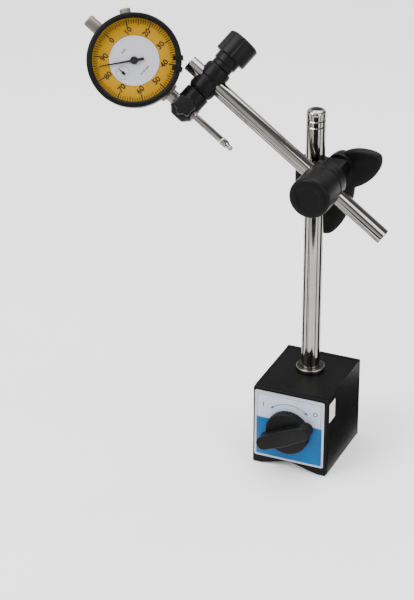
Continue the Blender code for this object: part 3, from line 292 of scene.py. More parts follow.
def flat_ring(inner, outer, thickness, count):
    """A thin flat ring, which rises from its own plane towards +Z."""
    profile = [(inner, thickness), (outer, thickness), (outer, 0), (inner, 0)]
    return lathe(profile, True, count)


def aim(matrix, start, direction):
    """A matrix whose +Z runs along a local direction from a local point."""
    turn = Vector(direction).to_track_quat("Z", "Y").to_matrix().to_4x4()
    return matrix @ Matrix.Translation(start) @ turn


def sheet_shape(points, thickness):
    """A flat bmesh outline, with a thickness towards +Z."""
    shape = bmesh.new()
    corners = [shape.verts.new((x, y, 0)) for x, y in points]
    face = shape.faces.new(corners)
    extruded = bmesh.ops.extrude_face_region(shape, geom=[face])
    moved = [item for item in extruded["geom"] if isinstance(item, bmesh.types.BMVert)]
    bmesh.ops.translate(shape, vec=(0, 0, thickness), verts=moved)
    return shape


def rounded_rectangle(low_x, low_y, high_x, high_y, radius, steps=5):
    corners = [(low_x, low_y), (high_x, low_y), (high_x, high_y), (low_x, high_y)]
    return rounded(corners, [radius] * 4, steps)


def arc(radius, start, end, count):
    return [(radius * math.cos(start + (end - start) * step / count),
             radius * math.sin(start + (end - start) * step / count)) for step in range(count + 1)]


def soften(piece, width, segments):
    bevel = piece.modifiers.new("bevel", "BEVEL")
    bevel.width = width
    bevel.segments = segments
    bevel.limit_method = "ANGLE"
    bevel.angle_limit = math.radians(SMOOTH_BELOW)


# ---- rods, post and collar ----
POST_GROOVE = 0.7 * MM
POST_GROOVE_PLACES = (6.0 * MM, 10.0 * MM)    # below the post's top
COLLAR_CLEARANCE = 0.2 * MM
ROD_RADIUS = 5.0 * MM
ROD_UPPER = 109.3 * MM
ROD_LOWER = 48.7 * MM
ROD_EDGE = 0.8 * MM


def make_post():
    """The post, with a domed top and two grooves, and the collar round its foot."""
    low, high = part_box("post")
    collar_low, collar_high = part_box("post_collar")
    top = high.z
    radius = (high.x - low.x) / 2
    floor = radius - POST_GROOVE * 0.8
    profile = [(0, top), (radius * 0.5, top - 0.15 * MM), (radius * 0.82, top - 0.75 * MM),
               (radius * 0.96, top - 1.6 * MM), (radius, top - 2.6 * MM)]
    for below in POST_GROOVE_PLACES:
        profile += [(radius, top - below + 0.05 * MM), (floor, top - below - POST_GROOVE * 0.6),
                    (floor, top - below - POST_GROOVE * 1.1), (radius, top - below - POST_GROOVE * 2)]
    profile += [(radius, collar_low.z), (0, collar_low.z)]
    place = Matrix.Translation((POST_PLACE.x, POST_PLACE.y, 0))
    finish_piece("post_chrome", lathe(profile), place, "chrome", "base", ["post"])
    outer = (collar_high.x - collar_low.x) / 2
    inner = radius + COLLAR_CLEARANCE
    ring = rounded([(inner, collar_high.z), (outer, collar_high.z), (outer, collar_low.z),
                    (inner, collar_low.z)], [0.3 * MM, 0.9 * MM, 0.2 * MM, 0])
    finish_piece("post_collar_ring", lathe(ring, True), place, "nickel", "base",
                 ["post_collar"])


def make_arm_rod():
    profile = rounded([(0, ROD_UPPER), (ROD_RADIUS, ROD_UPPER), (ROD_RADIUS, -ROD_LOWER), (0, -ROD_LOWER)],
                      [0, ROD_EDGE, ROD_EDGE, 0])
    finish_piece("arm_rod_chrome", lathe(profile), ARM, "chrome", "rod", ["arm_rod"])


# ---- the block ----
VEE_HALF = 19.0 * MM
VEE_HEIGHT = 5.0 * MM
SLOT_HALF = 4.0 * MM
SLOT_RISE = 1.0 * MM         # the slot's top, above the vee's
BLOCK_EDGE = 0.35 * MM


def make_block():
    """The pole pieces under one coat of enamel, with the vee groove and the spacer's slot."""
    low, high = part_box("left_pole")
    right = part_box("right_pole")[1].x
    slot_start = VEE_HEIGHT * (1 - SLOT_HALF / VEE_HALF)
    slot_top = VEE_HEIGHT + SLOT_RISE
    points = [(low.x, 0), (-VEE_HALF, 0), (-SLOT_HALF, slot_start), (-SLOT_HALF, slot_top),
              (SLOT_HALF, slot_top), (SLOT_HALF, slot_start), (VEE_HALF, 0), (right, 0),
              (right, high.z), (low.x, high.z)]
    place = Matrix.Translation((0, high.y, 0)) @ FACING_FRONT
    block = finish_piece("block_shell", sheet_shape(points, high.y - low.y), place, "black_paint", "base",
                         ["left_pole", "right_pole", "upper_spacer"])
    soften(block, BLOCK_EDGE, 3)


# ---- the base's label and knob ----
LABEL_SHARE = 0.60           # the blue part's share of the label's height
LABEL_CORNER = 1.6 * MM
LABEL_RIM = 1.3 * MM
FIELD_CORNER = 1.2 * MM
FIELD_SINK = 0.12 * MM       # the coloured fields start this far behind the label's front
FIELD_THICKNESS = 0.05 * MM
LABEL_INK = 0.04 * MM
LINE_INSET = 0.8 * MM
LINE_WIDTH = 0.25 * MM
ARROW_RADIUS = 18.6 * MM
ARROW_START = 52             # degrees from the label's right
ARROW_END = 128
ARROW_WIDTH = 0.45 * MM
HEAD_LENGTH = 1.6 * MM
HEAD_BACK = 0.8 * MM
HEAD_HALF = 1.0 * MM
MARK_SIDE = 17.6 * MM        # from the knob's axis
MARK_RISE = 15.6 * MM
MARK_HALF = 1.6 * MM
BAR_HALF_WIDTH = 0.35 * MM
RING_INNER = 1.0 * MM


def make_label():
    low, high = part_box("label_plate")
    thickness = high.y - low.y
    place = Matrix.Translation((0, high.y, 0)) @ FACING_FRONT
    frame_outline = rounded_rectangle(low.x, low.z, high.x, high.z, LABEL_CORNER)
    finish_piece("label_frame", sheet_shape(frame_outline, thickness - FIELD_SINK), place, "label_frame",
                 "base", ["label_plate"])
    left, right = low.x + LABEL_RIM, high.x - LABEL_RIM
    bottom, top = low.z + LABEL_RIM, high.z - LABEL_RIM
    split = low.z + (high.z - low.z) * LABEL_SHARE
    layer = Matrix.Translation((0, low.y + FIELD_SINK, 0)) @ FACING_FRONT
    blue = rounded([(left, bottom), (right, bottom), (right, split), (left, split)],
                   [FIELD_CORNER, FIELD_CORNER, 0, 0])
    finish_piece("label_blue_field", sheet_shape(blue, FIELD_THICKNESS), layer, "label", "base")
    pale = rounded([(left, split), (right, split), (right, top), (left, top)],
                   [0, 0, FIELD_CORNER, FIELD_CORNER])
    finish_piece("label_pale_field", sheet_shape(pale, FIELD_THICKNESS), layer, "label_pale", "base")
    ink = Matrix.Translation((0, low.y + FIELD_SINK - FIELD_THICKNESS, 0)) @ FACING_FRONT
    make_label_lines(low.x, high.x, high.z, split, ink)
    make_label_arrow(ink)
    make_label_marks(ink)


def strip(points, width):
    """A thin strip along a path, as an outline."""
    left = []
    right = []
    for index, point in enumerate(points):
        before = Vector(points[max(index - 1, 0)])
        after = Vector(points[min(index + 1, len(points) - 1)])
        along = (after - before).normalized()
        across = Vector((-along.y, along.x)) * width / 2
        left.append(tuple(Vector(point) + across))
        right.append(tuple(Vector(point) - across))
    return left + right[::-1]


def make_label_lines(low_x, high_x, high_z, split, ink):
    """A thin line inside the pale field's edge, on three sides."""
    edge = LABEL_RIM + LINE_INSET
    left, right, top = low_x + edge, high_x - edge, high_z - edge
    lines = {"left": [(left, split), (left, top)], "right": [(right, split), (right, top)],
             "top": [(left, top), (right, top)]}
    for name, points in lines.items():
        finish_piece("label_line_" + name, sheet_shape(strip(points, LINE_WIDTH), LABEL_INK), ink,
                     "ink_blue", "base")


def make_label_arrow(ink):
    """The double-headed arc over the knob."""
    start, end = math.radians(ARROW_START), math.radians(ARROW_END)
    lift = ink @ Matrix.Translation((0, place_of("magnet_switch").z, 0))
    path = arc(ARROW_RADIUS, start, end, 20)
    finish_piece("label_arrow_arc", sheet_shape(strip(path, ARROW_WIDTH), LABEL_INK), lift, "ink_blue",
                 "base")
    for name, angle, way in (("right", start, -1), ("left", end, 1)):
        across = Vector((math.cos(angle), math.sin(angle)))
        along = Vector((-math.sin(angle), math.cos(angle))) * way
        tip = across * ARROW_RADIUS
        head = [tuple(tip + along * HEAD_LENGTH), tuple(tip + across * HEAD_HALF - along * HEAD_BACK),
                tuple(tip - across * HEAD_HALF - along * HEAD_BACK)]
        finish_piece("label_arrow_head_" + name, sheet_shape(head, LABEL_INK), lift, "ink_blue", "base")


def make_label_marks(ink):
    """A bar for on and a ring for off."""
    height = place_of("magnet_switch").z + MARK_RISE
    left, right = -MARK_SIDE - BAR_HALF_WIDTH, -MARK_SIDE + BAR_HALF_WIDTH
    bar = [(left, height - MARK_HALF), (right, height - MARK_HALF), (right, height + MARK_HALF),
           (left, height + MARK_HALF)]
    finish_piece("label_mark_on", sheet_shape(bar, LABEL_INK), ink, "ink_blue", "base")
    finish_piece("label_mark_off", flat_ring(RING_INNER, MARK_HALF, LABEL_INK, 32),
                 ink @ Matrix.Translation((MARK_SIDE, height, 0)), "ink_blue", "base")


STICKER_WIDTH = 10.0 * MM
STICKER_HEIGHT = 13.0 * MM
STICKER_FROM_FRONT = 1.5 * MM
STICKER_BELOW_TOP = 5.0 * MM
STICKER_CORNER = 0.4 * MM
STICKER_THICKNESS = 0.1 * MM


def make_sticker():
    """The blank white sticker on the block's right side, near the front."""
    low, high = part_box("right_pole")
    place = Matrix.Translation((high.x, 0, 0)) @ Matrix.Rotation(math.pi / 2, 4, "Z") @ FACING_FRONT
    front = low.y + STICKER_FROM_FRONT
    top = high.z - STICKER_BELOW_TOP
    points = rounded_rectangle(front, top - STICKER_HEIGHT, front + STICKER_WIDTH, top, STICKER_CORNER, 3)
    finish_piece("side_sticker", sheet_shape(points, STICKER_THICKNESS), place, "sticker", "base")


KNOB_DISC = 5.5 * MM
KNOB_RADIUS = 14.5 * MM
KNOB_ANGLE = 26              # degrees from level, with the right end up
KNOB_FLUTES = 36
HANDLE_HALF_LENGTH = 19.4 * MM
HANDLE_HALF_WIDTH = 4.7 * MM
HANDLE_WAIST = 5.6 * MM
HANDLE_EDGE = 1.3 * MM
HANDLE_START = 0.4 * KNOB_DISC    # the handle starts inside the disc


def make_rotary_knob():
    """A fluted disc with a long handle across it."""
    low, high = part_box("rotary_knob")
    matrix = KNOB @ Matrix.Rotation(-math.radians(KNOB_ANGLE), 4, "Y")
    profile = rounded([(0, KNOB_DISC), (KNOB_RADIUS, KNOB_DISC), (KNOB_RADIUS, 0), (0, 0)],
                      [0, 1.8 * MM, 0.3 * MM, 0], 6)

    def flutes(angle, reach, height):
        return wave(angle, KNOB_FLUTES, 0.012)

    finish_piece("knob_disc", lathe(profile, count=288, ripple=flutes),
                 aim(matrix, (0, high.y, 0), (0, -1, 0)), "black_plastic", "magnet",
                 ["rotary_knob"])
    outline = handle_end(1) + [(0, HANDLE_WAIST)] + handle_end(-1) + [(0, -HANDLE_WAIST)]
    start = high.y - HANDLE_START
    handle = finish_piece("knob_handle", sheet_shape(outline, start - low.y),
                          matrix @ Matrix.Translation((0, start, 0)) @ FACING_FRONT, "black_plastic",
                          "magnet", angle=50)
    soften(handle, HANDLE_EDGE, 4)


def handle_end(side):
    """A round end of the knob's handle."""
    centre = HANDLE_HALF_LENGTH - HANDLE_HALF_WIDTH
    points = []
    for x, y in arc(HANDLE_HALF_WIDTH, -math.pi / 2, math.pi / 2, 8):
        points.append((side * (centre + x), side * y))
    return points


# ---- the main clamp ----
CHEEK_RADIUS = 12.5 * MM
CLAMP_REACH = 40 * MM        # longer than the drum is wide


def make_drum():
    """The drum and its cheek, with the arm rod's hole through both."""
    low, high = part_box("rod_drum")
    radius = (high.x - low.x) / 2
    length = high.y - low.y
    profile = [(0, length - 0.6 * MM), (radius * 0.55, length - 0.3 * MM), (radius * 0.62, length),
               (radius, length), (radius, 5.0 * MM), (radius - 0.6 * MM, 4.6 * MM),
               (radius - 0.6 * MM, 3.8 * MM), (radius, 3.4 * MM), (radius, 0), (0, 0)]
    radii = [0, 0.8 * MM, 0.5 * MM, 3.0 * MM, 0.2 * MM, 0.1 * MM, 0.1 * MM, 0.2 * MM, 0.4 * MM, 0]
    shape = lathe(rounded(profile, radii, 5))
    drum = finish_piece("rod_drum_shell", shape, aim(TILT, (0, high.y - CLAMP_PLACE.y, 0), (0, -1, 0)),
                        "black_paint", "drum", ["rod_drum"])
    cut_tube(drum, ARM, ROD_RADIUS + GAP, CLAMP_REACH)
    cheek_low, cheek_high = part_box("clamp_cheek")
    thick = cheek_high.y - cheek_low.y
    disc = rounded([(0, thick), (CHEEK_RADIUS, thick), (CHEEK_RADIUS, 0), (0, 0)], [0, 0.8 * MM, 1.0 * MM, 0])
    cheek = finish_piece("clamp_cheek_shell", lathe(disc),
                         aim(TILT, (0, cheek_high.y - CLAMP_PLACE.y, 0), (0, -1, 0)), "black_paint",
                         "drum", ["clamp_cheek"])
    cut_tube(cheek, ARM, ROD_RADIUS + GAP, CLAMP_REACH)


def cut_tube(piece, matrix, radius, reach):
    """Cuts a round hole along the matrix's +Z, and applies it."""
    shape = lathe([(0, reach), (radius, reach), (radius, -reach), (0, -reach)], count=64)
    bmesh.ops.recalc_face_normals(shape, faces=shape.faces)
    cut_shape(piece, shape, matrix)


def cut_shape(piece, shape, matrix):
    """Cuts a bmesh out of a piece, and applies the cut."""
    mesh = bpy.data.meshes.new("cutter")
    shape.to_mesh(mesh)
    shape.free()
    cutter = bpy.data.objects.new("cutter", mesh)
    bpy.context.scene.collection.objects.link(cutter)
    cutter.matrix_world = matrix
    boolean = piece.modifiers.new("cut", "BOOLEAN")
    boolean.operation = "DIFFERENCE"
    boolean.solver = "EXACT"
    boolean.object = cutter
    bpy.context.view_layer.update()
    evaluated = piece.evaluated_get(bpy.context.evaluated_depsgraph_get())
    cut_mesh = bpy.data.meshes.new_from_object(evaluated)
    piece.modifiers.remove(boolean)
    piece.data = cut_mesh
    piece.data.shade_smooth()
    piece.data.set_sharp_from_angle(angle=math.radians(SMOOTH_BELOW))
    bpy.data.objects.remove(cutter, do_unlink=True)


WING_HALF_THICKNESS = 2.9 * MM
LEAF_DOME = ((1.0, 0.0), (0.985, 0.55), (0.93, 0.85), (0.80, 1.0), (0.45, 0.86), (0.0, 0.80))


def make_leaf(name, points, half_thickness, matrix):
    """A moulded leaf of the wing knob. LEAF_DOME holds shares of its outline and of its half thickness."""
    shape = bmesh.new()
    count = len(points)
    centre = sum((Vector(point) for point in points), Vector((0, 0))) / count
    ordered = [(share, -height) for share, height in LEAF_DOME[:0:-1]] + list(LEAF_DOME)
    loops = []
    for share, height in ordered:
        if share == 0.0:
            loops.append([shape.verts.new((centre.x, centre.y, height * half_thickness))])
            continue
        loop = []
        for point in points:
            place = centre + (Vector(point) - centre) * share
            loop.append(shape.verts.new((place.x, place.y, height * half_thickness)))
        loops.append(loop)
    for lower, upper in zip(loops, loops[1:]):
        for step in range(count):
            after = (step + 1) % count
            corners = [lower[step % len(lower)]]
            if len(lower) > 1:
                corners.append(lower[after])
            if len(upper) > 1:
                corners.append(upper[after])
            corners.append(upper[step % len(upper)])
            shape.faces.new(corners)
    finish_piece(name, shape, matrix, "black_plastic", "wing", angle=60)


def bezier(start, first, second, end, count):
    """A cubic curve's points, without its last."""
    points = []
    for step in range(count):
        t = step / count
        point = (Vector(start) * (1 - t) ** 3 + Vector(first) * 3 * t * (1 - t) ** 2
                 + Vector(second) * 3 * t * t * (1 - t) + Vector(end) * t ** 3)
        points.append(tuple(point))
    return points


def make_wing_knob():
    """A hub with a broad leaf up and a narrow leaf down. The outlines are in millimetres."""
    low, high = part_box("wing_knob")
    depth = high.y - low.y
    hub = rounded([(0, depth), (7.6 * MM, depth), (8.5 * MM, depth * 0.35), (8.5 * MM, 0), (0, 0)],
                  [0, 1.8 * MM, 1.0 * MM, 0.4 * MM, 0])
    finish_piece("wing_knob_hub", lathe(hub), aim(WING, (0, low.y - CLAMP_PLACE.y, 0), (0, 1, 0)),
                 "black_plastic", "wing", ["wing_knob"])
    middle = (low.y + high.y) / 2 - CLAMP_PLACE.y
    place = WING @ Matrix.Translation((0, middle, 0)) @ FACING_FRONT
    upper = bezier((-10.0, -5.0), (-7.0, 3.0), (2.0, 12.5), (14.5, 12.5), 14)
    upper += bezier((14.5, 12.5), (19.5, 12.5), (22.5, 12.0), (25.0, 10.5), 6)
    upper += bezier((25.0, 10.5), (27.0, 8.5), (26.5, 3.0), (24.5, 0.0), 8)
    upper += bezier((24.5, 0.0), (20.5, -8.0), (12.5, -14.0), (3.5, -15.5), 12)
    upper += bezier((3.5, -15.5), (-4.0, -16.0), (-10.0, -12.0), (-10.0, -5.0), 8)
    make_leaf("wing_leaf_upper", scaled(upper), WING_HALF_THICKNESS, place)
    lower = bezier((8.0, 0.0), (11.5, -14.0), (7.5, -34.0), (-3.5, -46.0), 16)
    lower += bezier((-3.5, -46.0), (-7.0, -50.0), (-13.0, -50.0), (-14.0, -46.0), 8)
    lower += bezier((-14.0, -46.0), (-14.5, -40.0), (-5.0, -24.0), (-5.5, 0.0), 16)
    lower += bezier((-5.5, 0.0), (-4.0, 4.0), (5.0, 4.0), (8.0, 0.0), 6)
    make_leaf("wing_leaf_lower", scaled(lower), WING_HALF_THICKNESS, place)


def scaled(points):
    return [(x * MM, y * MM) for x, y in points]


# ---- the end clamp ----
BLOCK_HALF = 9.8 * MM
BLOCK_REACH = 20 * MM        # longer than the block is wide
NECK_LENGTH = 8.0 * MM
KNOB_LENGTH = 15.0 * MM
GRIP_RADIUS = 10.5 * MM
GRIP_FLUTES = 8
GRIP_DEPTH = 0.045
CARRIER_PLACE = 22.0 * MM    # from the rod's axis to the stem's bore
CARRIER_LENGTH = 20.0 * MM
CARRIER_RADIUS = 8.0 * MM
CARRIER_BORE = 4.3 * MM
CARRIER_REACH = 15 * MM
BORE_RING_RADIUS = 5.0 * MM
BORE_RING_PLACE = 7.75 * MM
THUMB_RADIUS = 6.5 * MM
THUMB_LENGTH = 6.0 * MM
THUMB_PLACE = 8.3 * MM
THUMB_LOBES = 6


def make_end_clamp():
    profile = rounded([(0, BLOCK_HALF), (7.6 * MM, BLOCK_HALF), (8.5 * MM, 8.4 * MM), (8.5 * MM, 1.2 * MM),
                       (7.9 * MM, 0.6 * MM), (7.9 * MM, -0.6 * MM), (8.5 * MM, -1.2 * MM),
                       (8.5 * MM, -7.5 * MM), (7.4 * MM, -BLOCK_HALF), (0, -BLOCK_HALF)],
                      [0, 0.6 * MM, 0.8 * MM, 0.5 * MM, 0.1 * MM, 0.1 * MM, 0.5 * MM, 0.8 * MM,
                       0.6 * MM, 0])
    block = finish_piece("end_clamp_shell", lathe(profile), aim(END, (0, 0, 0), (1, 0, 0)), "black_paint",
                         "end_block", ["end_clamp_block"])
    cut_tube(block, END, ROD_RADIUS + GAP, BLOCK_REACH)


def make_end_knob():
    """A neck with a small groove, then a fluted grip."""
    total = NECK_LENGTH + KNOB_LENGTH
    profile = [(0, total), (4.0 * MM, total - 0.05 * MM), (8.4 * MM, total - 0.5 * MM),
               (GRIP_RADIUS, total - 1.6 * MM), (GRIP_RADIUS, NECK_LENGTH), (7.7 * MM, NECK_LENGTH),
               (7.7 * MM, 3.4 * MM), (6.9 * MM, 2.9 * MM), (6.9 * MM, 0), (0, 0)]
    radii = [0, 0.5 * MM, 0.8 * MM, 0.9 * MM, 1.0 * MM, 0.5 * MM, 0.2 * MM, 0.2 * MM, 0.4 * MM, 0]

    def flutes(angle, reach, height):
        if height < NECK_LENGTH or reach < GRIP_RADIUS - 1.5 * MM:
            return 1.0
        return 1.0 - GRIP_DEPTH * max(0.0, math.cos(GRIP_FLUTES * angle)) ** 6

    shape = lathe(rounded(profile, radii, 5), count=160, ripple=flutes)
    finish_piece("end_knob_shell", shape, aim(END, (BLOCK_HALF + GAP, 0, 0), (1, 0, 0)), "black_plastic",
                 "end_knob", ["end_knob"])


def make_carrier():
    """The carrier that holds the stem, with a bright ring at each end of its bore."""
    top = CARRIER_PLACE - BLOCK_HALF - GAP
    bottom = top - CARRIER_LENGTH
    profile = rounded([(0, top), (CARRIER_RADIUS, top), (CARRIER_RADIUS, bottom + 4.0 * MM),
                       (4.4 * MM, bottom), (0, bottom)], [0, 0.8 * MM, 0.9 * MM, 0.8 * MM, 0], 5)
    body = finish_piece("carrier_shell", lathe(profile), aim(CARRIER, (0, 0, 0), (1, 0, 0)), "black_paint",
                        "carrier", ["indicator_carrier"])
    cut_tube(body, CARRIER, CARRIER_BORE, CARRIER_REACH)
    for name, side in (("upper", 1), ("lower", -1)):
        ring = rounded([(CARRIER_BORE, 0.25 * MM), (BORE_RING_RADIUS, 0.25 * MM),
                        (BORE_RING_RADIUS, -1.6 * MM), (CARRIER_BORE, -1.6 * MM)], [0.2 * MM, 0.2 * MM, 0, 0])
        place = aim(CARRIER, (0, 0, side * BORE_RING_PLACE), (0, 0, side))
        finish_piece("bore_ring_" + name, lathe(ring, True, 64), place, "nickel", "carrier")


def make_thumb_screw():
    profile = rounded([(0, THUMB_LENGTH), (THUMB_RADIUS, THUMB_LENGTH), (THUMB_RADIUS, 0), (0, 0)],
                      [0, 1.2 * MM, 0.8 * MM, 0], 5)

    def lobes(angle, reach, height):
        return wave(angle, THUMB_LOBES, 0.2)

    finish_piece("thumb_screw_head", lathe(profile, count=144, ripple=lobes),
                 aim(CARRIER, (0, -THUMB_PLACE, 0), (0, -1, 0)), "black_plastic", "thumb",
                 ["stem_thumb_screw"])


# ---- the dial indicator ----
CASE_RADIUS = 27.5 * MM
CASE_DEPTH = 14.4 * MM
CASE_WALL = 1.9 * MM
CASE_LIP = 5.5 * MM          # the back rim's width
CASE_LIP_DEPTH = 2.2 * MM
STEM_DEPTH = CASE_DEPTH / 2
STEM_RADIUS = 4.0 * MM
STEM_BORE = 2.6 * MM
STEM_TOP = -26.2 * MM
STEM_BOTTOM = -49.5 * MM
BOSS_INNER = 4.25 * MM
CONTACT_TOP = -70.5 * MM
CONTACT_RADIUS = 2.4 * MM
BALL_RADIUS = 1.6 * MM
BALL_BELOW = 6.96 * MM       # from the contact point's top to the ball's centre
BALL_START = 32              # degrees above level, where the holder ends
BALL_STEPS = 12
CAP_RADIUS = 3.8 * MM
CAP_BORE = 2.7 * MM
CAP_TOP = 38.6 * MM
CAP_ROOF = 1.1 * MM
BEZEL_RADIUS = 28.7 * MM
BEZEL_INNER = 26.5 * MM
BEZEL_DEPTH = 7.0 * MM
BEZEL_LIP = 1.0 * MM
WINDOW_RADIUS = 25.15 * MM
CRYSTAL_THICKNESS = 1.3 * MM
BEZEL_SCREW_ANGLE = 37       # degrees clockwise from 12 o'clock
BEZEL_SCREW_DEPTH = 3.8 * MM
BEZEL_SCREW_RADIUS = 3.4 * MM
BEZEL_SCREW_LENGTH = 4.5 * MM
DIAL_FACE = -1.5 * MM        # the dial's front, in the dial's frame
INK = 0.03 * MM


def make_case():
    """The cup of the case, with holes for the stem and the cap, and a boss round the stem."""
    wall = CASE_RADIUS - CASE_WALL
    lip = CASE_RADIUS - CASE_LIP
    shoulder = -CASE_DEPTH + CASE_LIP_DEPTH
    profile = rounded([(wall, 0), (wall, shoulder), (lip, shoulder), (lip, -CASE_DEPTH),
                       (CASE_RADIUS, -CASE_DEPTH), (CASE_RADIUS, 0)],
                      [0, 0, 0, 0, 1.6 * MM, 0.3 * MM], 6)
    case = finish_piece("case_shell", lathe(profile, True, 128), aim(DIAL, (0, 0, 0), (0, -1, 0)),
                        "case_grey", "indicator", ["case"])
    stem_path = DIAL @ Matrix.Translation((0, STEM_DEPTH, -CASE_RADIUS))
    cut_tube(case, stem_path, STEM_RADIUS + 0.15 * MM, 6 * MM)
    cut_tube(case, DIAL @ Matrix.Translation((0, STEM_DEPTH, CASE_RADIUS)), CAP_BORE, 4 * MM)
    boss = rounded([(BOSS_INNER, 3.4 * MM), (6.6 * MM, 3.4 * MM), (6.0 * MM, 1.4 * MM),
                    (BOSS_INNER, 1.4 * MM)], [0, 0, 0.6 * MM, 0.3 * MM])
    finish_piece("stem_boss", lathe(boss, True, 64),
                 DIAL @ Matrix.Translation((0, STEM_DEPTH, -CASE_RADIUS - 3.0 * MM)), "case_grey",
                 "indicator")


def make_stem_and_contact():
    """The stem's tube, and the contact point with its ball."""
    stem = rounded([(STEM_BORE, STEM_TOP), (STEM_RADIUS, STEM_TOP), (STEM_RADIUS, STEM_BOTTOM),
                    (STEM_BORE, STEM_BOTTOM)], [0, 0, 0.6 * MM, 0.2 * MM])
    place = DIAL @ Matrix.Translation((0, STEM_DEPTH, 0))
    finish_piece("stem_tube", lathe(stem, True, 96), place, "chrome", "indicator", ["stem"])
    top = CONTACT_TOP - GAP
    holder = rounded([(0, top), (CONTACT_RADIUS, top), (CONTACT_RADIUS, CONTACT_TOP - 4.0 * MM),
                      (1.3 * MM, CONTACT_TOP - 6.3 * MM)], [0, 0.3 * MM, 0.4 * MM, 0])
    ball_centre = top - BALL_BELOW
    for x, y in arc(BALL_RADIUS, math.radians(BALL_START), -math.pi / 2, BALL_STEPS):
        holder.append((x, ball_centre + y))
    holder[-1] = (0, ball_centre - BALL_RADIUS)

    def knurl(angle, reach, height):
        if reach > CONTACT_RADIUS - 0.2 * MM and CONTACT_TOP - 3.6 * MM < height < CONTACT_TOP - 0.8 * MM:
            return wave(angle, 20, 0.03)
        return 1.0

    finish_piece("contact_point_turned", lathe(holder, count=80, ripple=knurl), place, "chrome", "spindle",
                 ["contact_point"])


def make_spindle_cap():
    low = CASE_RADIUS + GAP
    roof = CAP_TOP - CAP_ROOF
    profile = rounded([(0, CAP_TOP), (CAP_RADIUS, CAP_TOP), (CAP_RADIUS, low), (CAP_BORE, low),
                       (CAP_BORE, roof), (0, roof)], [0, 1.0 * MM, 0.2 * MM, 0, 0, 0], 5)

    def knurl(angle, reach, height):
        if reach > CAP_RADIUS - 0.3 * MM and height > low + 1.6 * MM:
            return wave(angle, 24, 0.02)
        return 1.0

    finish_piece("spindle_cap_turned", lathe(profile, count=144, ripple=knurl),
                 DIAL @ Matrix.Translation((0, STEM_DEPTH, 0)), "case_grey", "indicator",
                 ["spindle_cap"])


def make_bezel():
    """The bezel, with a knurled band round its side, and the crystal."""
    lip = BEZEL_DEPTH - BEZEL_LIP
    profile = rounded([(BEZEL_RADIUS, BEZEL_DEPTH), (BEZEL_RADIUS, 0), (BEZEL_INNER, 0), (BEZEL_INNER, lip),
                       (WINDOW_RADIUS, lip), (WINDOW_RADIUS, lip + 0.1 * MM),
                       (WINDOW_RADIUS + 1.1 * MM, BEZEL_DEPTH)],
                      [1.7 * MM, 0.4 * MM, 0, 0, 0, 0, 0.4 * MM], 6)

    def knurl(angle, reach, height):
        if reach > BEZEL_RADIUS - 0.3 * MM and 0.9 * MM < height < 3.4 * MM:
            return wave(angle, 90, 0.006)
        return 1.0

    split = []
    for first, second in zip(profile, profile[1:] + profile[:1]):
        split.append(first)
        outside = first[0] > BEZEL_RADIUS - 0.1 * MM and second[0] > BEZEL_RADIUS - 0.5 * MM
        if outside and abs(first[1] - second[1]) > 2 * MM:
            split += [(BEZEL_RADIUS, level * MM) for level in (3.9, 3.4, 3.2, 1.0, 0.8)]
    finish_piece("bezel_ring", lathe(split, True, 540, knurl), aim(DIAL, (0, -GAP, 0), (0, -1, 0)),
                 "black_paint", "bezel", ["bezel"])
    pane_radius = BEZEL_INNER - GAP
    pane = rounded([(0, CRYSTAL_THICKNESS), (pane_radius, CRYSTAL_THICKNESS), (pane_radius, 0), (0, 0)],
                   [0, 0.2 * MM, 0.2 * MM, 0])
    finish_piece("crystal_pane", lathe(pane, count=128),
                 aim(DIAL, (0, CRYSTAL_THICKNESS - lip, 0), (0, -1, 0)), "glass", "bezel",
                 ["crystal"])


def make_bezel_screw():
    angle = math.radians(BEZEL_SCREW_ANGLE)
    radial = (math.sin(angle), 0, math.cos(angle))
    start = Vector(radial) * (CASE_RADIUS + 0.6 * MM) + Vector((0, BEZEL_SCREW_DEPTH, 0))
    profile = rounded([(0, BEZEL_SCREW_LENGTH), (BEZEL_SCREW_RADIUS, BEZEL_SCREW_LENGTH),
                       (BEZEL_SCREW_RADIUS, 0), (1.2 * MM, 0), (1.2 * MM, -2.2 * MM), (0, -2.2 * MM)],
                      [0, 0.9 * MM, 0.4 * MM, 0, 0, 0], 5)

    def knurl(angle, reach, height):
        return wave(angle, 24, 0.03) if reach > BEZEL_SCREW_RADIUS - 0.3 * MM else 1.0

    finish_piece("bezel_screw_turned", lathe(profile, count=144, ripple=knurl), aim(DIAL, start, radial),
                 "case_grey", "bezel_screw", ["bezel_screw"])


def dial_layer(depth):
    """The dial's own plane: +X right, +Y up, +Z out of its face."""
    return DIAL @ Matrix.Translation((0, depth, 0)) @ FACING_FRONT


def combine_shapes(shapes):
    """Several flat outlines as one bmesh."""
    whole = bmesh.new()
    for points in shapes:
        part = sheet_shape(points, INK)
        mesh = bpy.data.meshes.new("part")
        part.to_mesh(mesh)
        part.free()
        whole.from_mesh(mesh)
        bpy.data.meshes.remove(mesh)
    return whole


def tick(angle, inner, outer, width):
    """A radial mark, clockwise from 12 o'clock."""
    along = Vector((math.sin(angle), math.cos(angle)))
    across = Vector((math.cos(angle), -math.sin(angle))) * width / 2
    return [tuple(along * inner - across), tuple(along * inner + across), tuple(along * outer + across),
            tuple(along * outer - across)]


TICK_COUNT = 100
TICK_OUTER = 25.0            # the ticks' sizes are in millimetres
TICK_LENGTHS = (4.2, 3.4, 2.6)    # at tens, at fives, at the rest
TEN_WIDTH = 0.75
TICK_WIDTH = 0.50
NUMBER_REACH = 18.2 * MM
NUMBER_SIZE = 4.8 * MM
NUMBER_WEIGHT = 0.035        # how much bolder, as a share of the size
RING_LINE = (15.3 * MM, 15.5 * MM)
SMALL_DIAL = (-10.0 * MM, 0.0)
SMALL_RADIUS = 4.0 * MM
SMALL_TICK_INNER = 3.1 * MM
SMALL_TICK_WIDTH = 0.18 * MM
SMALL_LINE = 0.15 * MM
NOTE_REACH = 8.6 * MM


